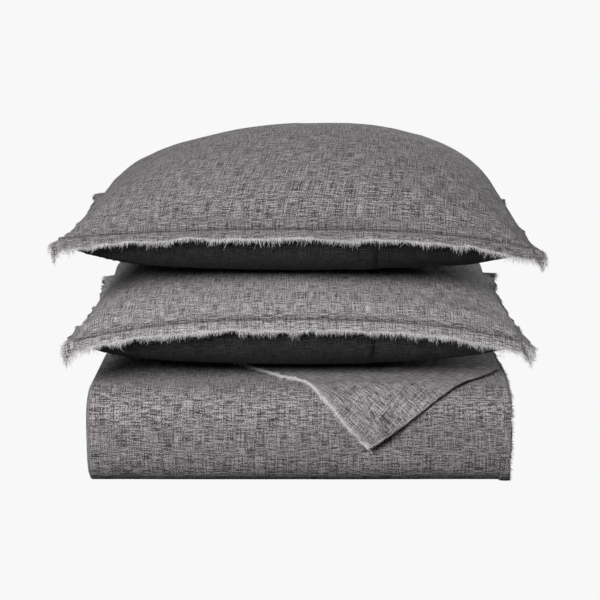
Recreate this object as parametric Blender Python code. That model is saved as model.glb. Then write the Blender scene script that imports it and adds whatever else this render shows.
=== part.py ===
"""A duvet set in frayed-edge chambray: the folded duvet with its turned-down corner, and two filled shams.

Metres, +Z up. The origin is on the surface that the stack stands on, under its middle. The front is -Y.
"""

import math

import bmesh
import bpy
from mathutils import Vector

# Driving dimensions of the cloth and of the folded duvet
GAP = 0.0003  # between pieces that touch
PANEL = 0.0015  # a cover's cloth, with its slubs
PACK_WIDTH = 0.612  # the duvet quartered across its width
PACK_FRONT = -0.262
PACK_BACK = 0.250
PACK_HEIGHT = 0.140
LAYERS = 4  # the quartered duvet, folded in half and in half again
FRINGE_REACH = 0.009  # free length of the frayed threads
FLANGE_REACH = 0.021  # plain border between the stitch line and the frayed threads
FLANGE_THICK = 0.0024

LAYER_PITCH = PACK_HEIGHT / LAYERS
HALF_LAYER = LAYER_PITCH / 2
OUTER_TURN = (PACK_HEIGHT - LAYER_PITCH) / 2  # mid-line radius of the front fold
INNER_TURN = LAYER_PITCH / 2
ARC_STEPS = 14
LOW_SQUARENESS, HIGH_SQUARENESS = 3.5, 2.7  # the weight above presses the front fold flat
LAYER_END = PACK_BACK - FLANGE_REACH - FRINGE_REACH  # where the insert ends, short of the cover's borders
STRAIGHT_END = LAYER_END - 0.130  # the plies lie flat from the front fold to here at least
INSERT_INSET = 0.004  # from the cover's side seams
BORDER_INSET = 0.010

# The closure at the cover's foot, and the tapes in its corners
BUTTONS, BUTTON_SPACING = 7, 0.085
BUTTON_RADIUS, BUTTON_THICK = 0.0058, 0.0026
PLACKET_THICK = 0.003
TIE_SIZE = (0.008, 0.019, 0.0014)
TIE_INSET = 0.022

# The turned-down corner of the cover
CORNER_THICK = 0.0026
CORNER_CLEAR = 0.0012  # between the hanging corner and the front fold
HINGE_GAP = 0.0008  # between the hanging part and the part on top
FRINGE_GAP = 0.0006
SHOULDER_STEP = 11  # the step of the front fold where the corner bends over it
CORNER_TIP_X = 0.100
CORNER_DROP = 0.082  # along the cloth, from the shoulder to the tip
CORNER_FOLD_Y = 0.010  # where the corner was folded over, under the lower sham
CORNER_LEFT_SLOPE = 0.98  # sideways run of the edge for each metre of cloth
CORNER_RIGHT_SLOPE = 1.12
CORNER_BLUNT = 0.002  # half the width left at the tip
CORNER_SHORT = 0.6  # the frayed threads on its right edge, as a share of the others' length

SHAMS = {
    "lower_sham": {
        "half_width": 0.318,
        "half_depth": 0.240,
        "seam_z": 0.2150,
        "rise": 0.0780,
        "rise_power": 0.30,
        "sink": 0.0705,
        "sink_power": 0.28,
        "lean": 0.004,
    },
    "upper_sham": {
        "half_width": 0.330,
        "half_depth": 0.240,
        "seam_z": 0.3530,
        "rise": 0.1390,
        "rise_power": 0.52,
        "sink": 0.0595,
        "sink_power": 0.24,
        "lean": 0.012,
    },
}
PULL_IN = 0.030  # how much less wide a filled sham is at its middle than at its corners
CORNER_DROOP = 0.017
BORDER_SAG = 0.30  # droop of the border at a corner, for each metre outside the seam
FRINGE_THIN = 0.7  # the frayed threads' depth, as a share of the cloth's
CELLS_X, CELLS_Y = 14, 12
ENVELOPE_WIDE = 0.32  # where the back's outer panel ends, as a share of the half width
ENVELOPE_UNDER = -0.03  # where the panel under it ends
ENVELOPE_MARGIN = 0.02  # no row of points is closer than this to an end
TICKING = 0.0012
STITCH_FROM, STITCH_TO, STITCH_THICK = 0.0012, 0.0024, 0.0006

CLOTH = {"color": (0.196, 0.183, 0.186, 1), "roughness": 0.92}
PALE_THREAD = {"color": (0.58, 0.56, 0.55, 1), "roughness": 0.95}
DARK_THREAD = {"color": (0.060, 0.056, 0.058, 1), "roughness": 0.95}
WHITE_COTTON = {"color": (0.80, 0.79, 0.76, 1), "roughness": 0.90}
BATTING = {"color": (0.86, 0.86, 0.84, 1), "roughness": 0.97}
SHELL_BUTTON = {"color": (0.30, 0.29, 0.29, 1), "roughness": 0.35}


def clear_scene():
    for obj in list(bpy.data.objects):
        bpy.data.objects.remove(obj, do_unlink=True)


def material(name, look):
    found = bpy.data.materials.get(name)
    if found:
        return found
    made = bpy.data.materials.new(name)
    made.use_nodes = True
    shader = made.node_tree.nodes["Principled BSDF"]
    shader.inputs["Base Color"].default_value = look["color"]
    shader.inputs["Roughness"].default_value = look["roughness"]
    shader.inputs["Metallic"].default_value = 0.0
    return made


def add_object(name, mesh_data, look_name, look, parent, location=(0, 0, 0)):
    """One named node, with its faces pointing out."""
    bmesh.ops.recalc_face_normals(mesh_data, faces=mesh_data.faces)
    if mesh_data.calc_volume(signed=True) < 0:
        bmesh.ops.reverse_faces(mesh_data, faces=mesh_data.faces)
    mesh = bpy.data.meshes.new(name)
    mesh_data.to_mesh(mesh)
    mesh_data.free()
    mesh.shade_smooth()
    mesh.set_sharp_from_angle(angle=math.radians(40))
    mesh.materials.append(material(look_name, look))
    obj = bpy.data.objects.new(name, mesh)
    bpy.context.scene.collection.objects.link(obj)
    obj.parent = parent
    if parent is not None:
        obj.matrix_parent_inverse.identity()
        obj.location = Vector(location) - parent.location
    else:
        obj.location = location
    return obj


def body_empty(name, location=(0, 0, 0)):
    empty = bpy.data.objects.new(name, None)
    empty.location = location
    bpy.context.scene.collection.objects.link(empty)
    return empty


def loft(rings, closed_ends=True, cyclic=False):
    """A closed body through rings of points, all of the same length."""
    bm = bmesh.new()
    rows = [[bm.verts.new(p) for p in ring] for ring in rings]
    spans = list(zip(rows, rows[1:]))
    if cyclic:
        spans.append((rows[-1], rows[0]))
    for low, high in spans:
        for i in range(len(low)):
            j = (i + 1) % len(low)
            bm.faces.new((low[i], low[j], high[j], high[i]))
    if closed_ends and not cyclic:
        bm.faces.new(reversed(rows[0]))
        bm.faces.new(rows[-1])
    return bm


# The folded duvet


def front_fold(radius, low_squareness, high_squareness):
    """Points of a fold at the front, from its lower end up to its upper end, round the middle of the pack.

    Squareness 2 is a quarter circle, and more is a corner that is pressed flatter.
    """
    centre_y = PACK_FRONT + HALF_LAYER + OUTER_TURN
    points = []
    for step in range(ARC_STEPS + 1):
        turn = math.pi * step / ARC_STEPS
        reach, rise = math.sin(turn), -math.cos(turn)
        power = 2 / (low_squareness if rise < 0 else high_squareness)
        points.append(
            (
                centre_y - radius * reach**power,
                PACK_HEIGHT / 2 + radius * math.copysign(abs(rise) ** power, rise),
            )
        )
    return points


def outer_fold():
    return front_fold(OUTER_TURN, LOW_SQUARENESS, HIGH_SQUARENESS)


def back_fold(mid_z):
    """Points of the fold at the back, from its upper end down to its lower end."""
    centre_y = PACK_BACK - HALF_LAYER - INNER_TURN
    points = []
    for step in range(ARC_STEPS + 1):
        turn = math.pi * step / ARC_STEPS
        points.append((centre_y + INNER_TURN * math.sin(turn), mid_z + INNER_TURN * math.cos(turn)))
    return points


def duvet_path():
    """The mid-line of the folded duvet, seen from the side: along the floor, up the front, back along
    the top, round the back fold, forward again, round the inner fold, and back."""
    path = [(LAYER_END, HALF_LAYER), (STRAIGHT_END, HALF_LAYER)]
    path += outer_fold()
    path += [(STRAIGHT_END, PACK_HEIGHT - HALF_LAYER)]
    path += back_fold(PACK_HEIGHT - LAYER_PITCH)
    path += list(reversed(front_fold(INNER_TURN, 2, 2)))
    path += [(LAYER_END, HALF_LAYER + LAYER_PITCH)]
    return path


def side_of(path, offset):
    """The path moved sideways by offset, to its left as it is walked."""
    moved = []
    for i, point in enumerate(path):
        before, after = path[max(i - 1, 0)], path[min(i + 1, len(path) - 1)]
        dy, dz = after[0] - before[0], after[1] - before[1]
        length = math.hypot(dy, dz)
        moved.append((point[0] - dz / length * offset, point[1] + dy / length * offset))
    return moved


def ribbon(path, low_offset, high_offset, x_from, x_to):
    """A closed body: the strip between two offsets of the path, extruded across the duvet."""
    left, right = side_of(path, low_offset), side_of(path, high_offset)
    rings = []
    for (ly, lz), (hy, hz) in zip(left, right):
        rings.append([(x_from, ly, lz), (x_to, ly, lz), (x_to, hy, hz), (x_from, hy, hz)])
    return loft(rings)


def build_duvet(parent):
    path = duvet_path()
    half = PACK_WIDTH / 2
    skin = HALF_LAYER - GAP / 2
    fill = skin - PANEL - GAP
    insert_half = half - INSERT_INSET
    insert = ribbon(path, -fill, fill, -insert_half, insert_half)
    add_object("duvet_insert", insert, "batting", BATTING, parent)
    face = ribbon(path, skin - PANEL, skin, -half, half)
    add_object("duvet_cover_face", face, "chambray", CLOTH, parent)
    reverse = ribbon(path, -skin, -skin + PANEL, -half, half)
    add_object("duvet_cover_reverse", reverse, "chambray", CLOTH, parent)
    side_fringe(parent, path, half)
    foot_closure(parent)
    corner_ties(parent, half)


def side_fringe(parent, path, half):
    """The frayed side border of the outermost ply, from the floor round the front to the back."""
    outer = path[1 : 1 + ARC_STEPS + 2]
    edge = HALF_LAYER - 2 * GAP
    border = ribbon(outer, edge - FLANGE_THICK, edge, half + GAP, half + GAP + FRINGE_REACH)
    add_object("duvet_side_fringe", border, "dark_thread", DARK_THREAD, parent)


def block(size):
    bm = bmesh.new()
    bmesh.ops.create_cube(bm, size=1.0)
    bmesh.ops.scale(bm, vec=size, verts=bm.verts)
    return bm


def end_border(parent, name, mid_z, thick, trim):
    """The border of the cover past the insert's end, and the frayed threads past that border."""
    width = PACK_WIDTH - 2 * BORDER_INSET
    start = LAYER_END + GAP
    for piece, length, depth, look_name, look in (
        (name, FLANGE_REACH, thick, "chambray", CLOTH),
        (trim, FRINGE_REACH - 3 * GAP, thick * FRINGE_THIN, "pale_thread", PALE_THREAD),
    ):
        place = (0, start + length / 2, mid_z)
        add_object(piece, block((width, length, depth)), look_name, look, parent, place)
        start += length + GAP


def foot_closure(parent):
    """The open foot of the cover, with its row of buttons, and the sewn head that lies under it."""
    foot_z = HALF_LAYER + LAYER_PITCH - 0.004
    end_border(parent, "foot_placket", foot_z, PLACKET_THICK, "foot_fringe")
    end_border(parent, "head_flange", HALF_LAYER - 0.006, FLANGE_THICK, "head_fringe")
    button_y = LAYER_END + FLANGE_REACH / 2
    button_z = foot_z + (PLACKET_THICK + BUTTON_THICK) / 2 + GAP
    for i in range(BUTTONS):
        button = bmesh.new()
        bmesh.ops.create_cone(
            button,
            cap_ends=True,
            segments=16,
            radius1=BUTTON_RADIUS,
            radius2=BUTTON_RADIUS * 0.86,
            depth=BUTTON_THICK,
        )
        place = ((i - (BUTTONS - 1) / 2) * BUTTON_SPACING, button_y, button_z)
        add_object(f"closure_button_{i + 1}", button, "shell_button", SHELL_BUTTON, parent, place)


def corner_ties(parent, half):
    """The tape loops that tie the insert into the cover's corners."""
    y = LAYER_END + GAP + TIE_SIZE[1] / 2
    heights = (HALF_LAYER + 0.004, HALF_LAYER + LAYER_PITCH + 0.007)  # above the head and the foot borders
    places = [(side * (half - TIE_INSET), y, z) for side in (-1, 1) for z in heights]
    for i, place in enumerate(places):
        add_object(f"corner_tie_{i + 1}", block(TIE_SIZE), "white_cotton", WHITE_COTTON, parent, place)


# The turned-down corner


def walk(points, length):
    """The points along a line up to that length, and the run to each."""
    out, run = [(points[0], 0.0)], 0.0
    for a, b in zip(points, points[1:]):
        step = math.dist(a, b)
        if run + step >= length:
            share = (length - run) / step
            out.append(((a[0] + (b[0] - a[0]) * share, a[1] + (b[1] - a[1]) * share), length))
            return out
        run += step
        out.append((b, run))
    return out


def corner_edges(distance):
    """The corner's left and right edge, this far along the cloth from its tip."""
    left = CORNER_TIP_X - CORNER_BLUNT - CORNER_LEFT_SLOPE * distance
    right = CORNER_TIP_X + CORNER_BLUNT + CORNER_RIGHT_SLOPE * distance
    return left, min(right, PACK_WIDTH / 2 - INSERT_INSET)


def corner_rings(line, sides):
    """Rings across the cloth, for a line of points and their distances from the tip along the cloth."""
    inner = side_of([p for p, _ in line], -CORNER_CLEAR)
    outer = side_of([p for p, _ in line], -CORNER_CLEAR - CORNER_THICK)
    rings = []
    for (_, from_tip), (iy, iz), (oy, oz) in zip(line, inner, outer):
        left, right = sides(from_tip)
        rings.append([(left, iy, iz), (right, iy, iz), (right, oy, oz), (left, oy, oz)])
    return rings


def corner_lines():
    """The duvet's surface under the corner: back from the shoulder to its fold, and down to its tip."""
    outer = side_of(outer_fold(), HALF_LAYER)
    on_top = outer[SHOULDER_STEP:] + [(CORNER_FOLD_Y, PACK_HEIGHT)]
    hanging = list(reversed(outer[: SHOULDER_STEP + 1]))
    return walk(on_top, math.inf), walk(hanging, CORNER_DROP)


def build_corner(parent, top_parent):
    """The part that hangs over the front and can be lifted, and the part that lies under the lower sham."""
    on_top, hanging = corner_lines()
    on_top = [(point, CORNER_DROP + run) for point, run in reversed(on_top)]
    hanging = [(point, CORNER_DROP - run) for point, run in hanging]
    (y, z), start = hanging[0]
    below = hanging[1][0]
    share = HINGE_GAP / math.dist((y, z), below)
    hanging[0] = ((y + (below[0] - y) * share, z + (below[1] - z) * share), start - HINGE_GAP)

    def pale_sides(from_tip):
        left = corner_edges(from_tip)[0] - FRINGE_GAP
        return left - FRINGE_REACH, left

    def dark_sides(from_tip):
        right = corner_edges(from_tip)[1] + FRINGE_GAP
        return right, right + FRINGE_REACH * CORNER_SHORT

    for name, line, sides, look_name, look, owner in (
        ("turned_corner", hanging, corner_edges, "chambray", CLOTH, parent),
        ("turned_corner_pale_fringe", hanging, pale_sides, "pale_thread", PALE_THREAD, parent),
        ("turned_corner_dark_fringe", hanging, dark_sides, "dark_thread", DARK_THREAD, parent),
        ("corner_root", on_top, corner_edges, "chambray", CLOTH, top_parent),
        ("corner_root_fringe", on_top, pale_sides, "pale_thread", PALE_THREAD, top_parent),
    ):
        add_object(name, loft(corner_rings(line, sides)), look_name, look, owner)


# The shams


def spread(cells):
    """Shares from -1 to 1, closer together near the edges."""
    return [math.sin(math.pi / 2 * (2 * i / cells - 1)) for i in range(cells + 1)]


def seam_height(sham, u, v):
    droop = CORNER_DROOP * abs(u) ** 3 * abs(v) ** 3
    return sham["seam_z"] - droop + sham["lean"] * v * 0.5


def sham_point(sham, u, v, inset, side):
    """A point of the filled sham: side 1 is its top, -1 its underside, 0 the seam plane."""
    x = u * (sham["half_width"] - inset) * (1 - PULL_IN * (1 - v * v))
    y = v * (sham["half_depth"] - inset) * (1 - PULL_IN * (1 - u * u))
    dome = max(0.0, (1 - u * u) * (1 - v * v))
    z = seam_height(sham, u, v)
    if side > 0:
        z += GAP / 2 + (sham["rise"] - inset) * dome ** sham["rise_power"]
    if side < 0:
        z -= GAP / 2 + (sham["sink"] - inset) * dome ** sham["sink_power"]
    return x, y, z


def sheet_body(sham, us, vs, side, outer_inset, inner_inset):
    """A closed thin body: the cloth on one side of a sham, between two insets."""
    bm = bmesh.new()
    layers = []
    for inset in (inner_inset, outer_inset):
        layers.append([[bm.verts.new(sham_point(sham, u, v, inset, side)) for v in vs] for u in us])
    for grid in layers:
        for i in range(len(us) - 1):
            for j in range(len(vs) - 1):
                bm.faces.new((grid[i][j], grid[i + 1][j], grid[i + 1][j + 1], grid[i][j + 1]))
    inner, outer = layers
    last_u, last_v = len(us) - 1, len(vs) - 1
    rim = [(i, 0) for i in range(last_u)] + [(last_u, j) for j in range(last_v)]
    rim += [(i, last_v) for i in range(last_u, 0, -1)] + [(0, j) for j in range(last_v, 0, -1)]
    for (i, j), (k, m) in zip(rim, rim[1:] + rim[:1]):
        bm.faces.new((outer[i][j], outer[k][m], inner[k][m], inner[i][j]))
    return bm


def cushion_shell(bm, sham, inset):
    """The whole closed surface of the cushion at that inset, and its grids of points."""
    us, vs = spread(CELLS_X), spread(CELLS_Y)
    seam = {}

    def vert(i, j, side):
        if i in (0, CELLS_X) or j in (0, CELLS_Y):
            if (i, j) not in seam:
                seam[i, j] = bm.verts.new(sham_point(sham, us[i], vs[j], inset, 0))
            return seam[i, j]
        return bm.verts.new(sham_point(sham, us[i], vs[j], inset, side))

    faces = {}
    for side in (1, -1):
        grid = [[vert(i, j, side) for j in range(CELLS_Y + 1)] for i in range(CELLS_X + 1)]
        for i in range(CELLS_X):
            for j in range(CELLS_Y):
                faces[side, i, j] = bm.faces.new(
                    (grid[i][j], grid[i + 1][j], grid[i + 1][j + 1], grid[i][j + 1])
                )
    return faces


def pillow_fill(sham, inset):
    bm = bmesh.new()
    cushion_shell(bm, sham, inset)
    return bm


def pillow_ticking(sham, inset):
    """The insert's own case: two nested surfaces joined at the slit that it was filled through."""
    bm = bmesh.new()
    outer, inner = (cushion_shell(bm, sham, d) for d in (inset, inset + TICKING))
    slit = (-1, CELLS_X // 2, CELLS_Y - 1)
    loops = []
    for faces in (outer, inner):
        loops.append(list(faces[slit].verts))
        bm.faces.remove(faces[slit])
    for a in range(4):
        b = (a + 1) % 4
        bm.faces.new((loops[0][a], loops[0][b], loops[1][b], loops[1][a]))
    return bm


def border_ring(sham, reach_from, reach_to, half_thick, lift=0.0):
    """A closed ring round the sham, between two distances outside its seam."""
    us, vs = spread(CELLS_X), spread(CELLS_Y)
    rim = [(u, -1) for u in us[:-1]] + [(1, v) for v in vs[:-1]]
    rim += [(u, 1) for u in reversed(us[1:])] + [(-1, v) for v in reversed(vs[1:])]
    rings = []
    for u, v in rim:
        x, y, z = sham_point(sham, u, v, 0, 0)
        out_x = math.copysign(1, u) if abs(u) == 1 else 0
        out_y = math.copysign(1, v) if abs(v) == 1 else 0
        sag = BORDER_SAG * abs(u * v) ** 3
        ring = []
        for reach, thick in ((reach_from, -1), (reach_to, -1), (reach_to, 1), (reach_from, 1)):
            ring.append(
                (x + out_x * reach, y + out_y * reach, z + lift - sag * reach + thick * half_thick)
            )
        rings.append(ring)
    return loft(rings, cyclic=True)


def build_sham(name, parent):
    sham = SHAMS[name]
    us, vs = spread(CELLS_X), spread(CELLS_Y)
    lower_inset = PANEL + GAP
    ticking_inset = 2 * lower_inset
    fill_inset = ticking_inset + TICKING + GAP
    wide = [u for u in us if u < ENVELOPE_WIDE - ENVELOPE_MARGIN] + [ENVELOPE_WIDE]
    under = [ENVELOPE_UNDER] + [u for u in us if u > ENVELOPE_UNDER + ENVELOPE_MARGIN]

    front = sheet_body(sham, us, vs, 1, 0, PANEL)
    add_object(name + "_front_panel", front, "chambray", CLOTH, parent)
    back = sheet_body(sham, wide, vs, -1, 0, PANEL)
    add_object(name + "_back_panel", back, "chambray", CLOTH, parent)
    underlap = sheet_body(sham, under, vs, -1, lower_inset, lower_inset + PANEL)
    add_object(name + "_back_underlap", underlap, "chambray", CLOTH, parent)

    half = FLANGE_THICK / 2
    flange_end = GAP + FLANGE_REACH
    flange = border_ring(sham, GAP, flange_end, half)
    add_object(name + "_flange", flange, "chambray", CLOTH, parent)
    fringe = border_ring(sham, flange_end + GAP, flange_end + GAP + FRINGE_REACH, half * FRINGE_THIN)
    add_object(name + "_fringe", fringe, "pale_thread", PALE_THREAD, parent)
    lift = half + GAP + STITCH_THICK / 2
    stitching = border_ring(sham, STITCH_FROM, STITCH_TO, STITCH_THICK / 2, lift)
    add_object(name + "_flange_stitching", stitching, "dark_thread", DARK_THREAD, parent)

    insert = name.replace("sham", "pillow")
    ticking = pillow_ticking(sham, ticking_inset)
    add_object(insert + "_ticking", ticking, "white_cotton", WHITE_COTTON, parent)
    add_object(insert + "_fill", pillow_fill(sham, fill_inset), "batting", BATTING, parent)


def main():
    clear_scene()
    duvet = body_empty("folded_duvet")
    shoulder_y, shoulder_z = side_of(outer_fold(), HALF_LAYER)[SHOULDER_STEP]
    corner = body_empty("lifting_corner", (0, shoulder_y, shoulder_z))
    build_duvet(duvet)
    build_corner(corner, duvet)
    for name in SHAMS:
        build_sham(name, body_empty(name, (0, 0, SHAMS[name]["seam_z"])))


main()
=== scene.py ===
"""A duvet set in frayed-edge chambray: two filled shams on a folded duvet that has one corner turned down."""

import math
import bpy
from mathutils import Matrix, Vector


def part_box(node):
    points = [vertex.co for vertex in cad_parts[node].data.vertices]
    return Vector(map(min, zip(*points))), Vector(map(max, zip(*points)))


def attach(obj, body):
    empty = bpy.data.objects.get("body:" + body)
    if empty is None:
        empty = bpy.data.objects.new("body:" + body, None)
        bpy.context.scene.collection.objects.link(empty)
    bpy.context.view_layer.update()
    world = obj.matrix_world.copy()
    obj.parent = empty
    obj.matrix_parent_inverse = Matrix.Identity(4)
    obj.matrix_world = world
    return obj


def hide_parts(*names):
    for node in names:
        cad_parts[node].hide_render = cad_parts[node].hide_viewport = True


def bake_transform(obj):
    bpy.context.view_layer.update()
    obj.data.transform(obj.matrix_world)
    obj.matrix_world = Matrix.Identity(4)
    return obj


bl_info = {
    "name": "Chambray duvet set",
    "version": (1, 0, 0),
    "blender": (4, 5, 0),
    "location": "3D View > Sidebar > Duvet set",
    "description": "Builds the shams, the folded duvet and its frayed borders round the packed frame",
    "category": "Add Mesh",
}

import bpy
import numpy as np
from bpy.props import FloatProperty, FloatVectorProperty, IntProperty, PointerProperty
from mathutils import Vector

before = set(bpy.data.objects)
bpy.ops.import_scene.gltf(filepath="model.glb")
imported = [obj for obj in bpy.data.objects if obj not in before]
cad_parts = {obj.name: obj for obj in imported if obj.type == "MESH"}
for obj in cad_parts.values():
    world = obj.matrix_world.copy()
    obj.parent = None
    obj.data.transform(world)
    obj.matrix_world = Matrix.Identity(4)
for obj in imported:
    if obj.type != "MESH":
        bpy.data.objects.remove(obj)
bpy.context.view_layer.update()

# The cloth
GAP = 0.0003  # between pieces that touch
BORDER_THICK = 0.0024  # the doubled cloth outside a sham's seam
WARP_PITCH, WEFT_PITCH = 0.0011, 0.0010
WAVE_TURN = 3.1  # turns a pitch into the scale of a wave texture

# The folded duvet
LAYERS = 4
LOW_SQUARENESS, HIGH_SQUARENESS = 3.9, 3.3
LEFT_END_ROUND, RIGHT_END_ROUND, END_SQUARENESS = 0.006, 0.005, 2.4
STRAIGHT_PLY = 0.130  # the plies lie flat for this far at least, from the cover's open end
OUTER_PLY_RUN = 1.12  # run of the mid-line from the floor's back end to the back of the top
SIDE_BORDER = 0.0145  # width of the stitched border at the open side
CORNER_TIP_X, CORNER_TIP_Z = 0.102, 0.062
CORNER_WEAVE_ANGLE = 42.0
HOLLOW_DEPTH = 0.0075  # how deep the duvet gives under the corner's edge
CORNER_PLY = 0.0017  # thickness of the corner's cloth
DUVET_PAINTED_LIGHT, CORNER_PAINTED_LIGHT = -0.04, 0.10  # painted light: each piece darker or lighter than the mean cloth, for the light it gets

# The shams
SHAM_NAMES = ("lower_sham", "upper_sham")
SHAM_SHAPES = {
    "lower_sham": {
        "lean": 0.004,
        "rise_power": 0.25,
        "sink_power": 0.28,
        "arch": 0.027,
        "corner_drops": (-0.015, -0.014, -0.010, -0.014),
        "crown_shift": 0.004,
        # painted light: the lower sham made lighter, because the upper sham shades it
        "painted_light": 0.17,
        "extra_rise": 0.0,
        "seed": 11,
    },
    "upper_sham": {
        "lean": 0.012,
        "rise_power": 0.47,
        "sink_power": 0.24,
        "arch": 0.024,
        "corner_drops": (-0.030, -0.016, -0.012, -0.004),
        "crown_shift": 0.040,
        # painted light: the upper sham made darker, because it gets the most light
        "painted_light": -0.20,
        "extra_rise": 0.0045,
        "seed": 23,
    },
}
PULL_IN = 0.030  # how far the front and back draw in between the corners, as a share
SIDE_PULL = 1.6  # how much more the sides draw in
CORNER_DROOP = 0.017  # how far the corners hang below the seam
FLAP_ROOM = 0.0022  # the envelope's flap lies under the cover here
FLAP_END = 0.32  # as a share of the half width
SEAM_GROOVE = 0.0018
TIP_CURL = 0.015  # how far the front tips hang below the border
FOLD_HEIGHT = 0.0085  # creases that run in from the corners
UNDER_SHADE = 0.86  # painted shade: how dark the backs are, from 0 to 1
PILLOW_INSET = 0.004


def soft_noise(x, y, cell, seed):
    """Soft bumps from -1 to 1, about one for each cell of that size in metres."""
    size = 64
    lattice = np.random.default_rng(seed).uniform(-1, 1, (size, size))
    gx, gy = x / cell + 512.0, y / cell + 512.0
    ix, iy = np.floor(gx).astype(int), np.floor(gy).astype(int)
    fx, fy = gx - ix, gy - iy
    fx, fy = fx * fx * (3 - 2 * fx), fy * fy * (3 - 2 * fy)
    near = lattice[ix % size, iy % size] * (1 - fx) + lattice[(ix + 1) % size, iy % size] * fx
    far = lattice[ix % size, (iy + 1) % size] * (1 - fx) + lattice[(ix + 1) % size, (iy + 1) % size] * fx
    return near * (1 - fy) + far * fy


def smoothstep(value, low, high):
    """0 below low, 1 above high, and a soft step between them."""
    share = np.clip((value - low) / (high - low), 0, 1)
    return share * share * (3 - 2 * share)


def unit(ways):
    """Each row's direction, with length 1."""
    return ways / np.maximum(np.linalg.norm(ways, axis=1, keepdims=True), 1e-9)


# Materials


def tinted(colour, share):
    """The colour made darker or lighter, up to white."""
    return tuple(min(1, c * share) for c in colour[:3]) + (1,)


class Nodes:
    """A short way to write a material's nodes."""

    def __init__(self, name):
        self.material = bpy.data.materials.new(name)
        self.material.use_nodes = True
        self.tree = self.material.node_tree
        self.shader = self.tree.nodes["Principled BSDF"]

    def add(self, kind, inputs=None, **settings):
        node = self.tree.nodes.new(kind)
        for key, value in settings.items():
            setattr(node, key, value)
        for key, value in (inputs or {}).items():
            self.put(value, node.inputs[key])
        return node

    def put(self, value, socket):
        if isinstance(value, bpy.types.NodeSocket):
            self.tree.links.new(value, socket)
        elif isinstance(value, bpy.types.Node):
            self.tree.links.new(value.outputs[0], socket)
        else:
            socket.default_value = value

    def math(self, operation, a, b=0.5, clamp=False):
        return self.add("ShaderNodeMath", {0: a, 1: b}, operation=operation, use_clamp=clamp)

    def mix(self, share, a, b, blend="MIX"):
        node = self.add("ShaderNodeMix", data_type="RGBA", blend_type=blend)
        self.put(share, node.inputs["Factor"])
        self.put(a, node.inputs["A"])
        self.put(b, node.inputs["B"])
        return node.outputs["Result"]

    def ramp(self, value, low, high):
        """The value stretched from low..high to 0..1."""
        node = self.add("ShaderNodeMapRange", {0: value, 1: low, 2: high, 3: 0.0, 4: 1.0})
        return node.outputs[0]

    def stretched_noise(self, uv, along, across, seed, detail=1.0):
        """Noise with one cell for each along by across metres of cloth."""
        scaled = self.add("ShaderNodeMapping", {"Vector": uv, "Location": (seed, seed * 1.7, 0.0)})
        scaled.inputs["Scale"].default_value = (1 / along, 1 / across, 1.0)
        noise = self.add(
            "ShaderNodeTexNoise",
            {"Vector": scaled.outputs[0], "Scale": 1.0, "Detail": detail, "Roughness": 0.6},
            noise_dimensions="2D",
        )
        return noise.outputs[0]


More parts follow.
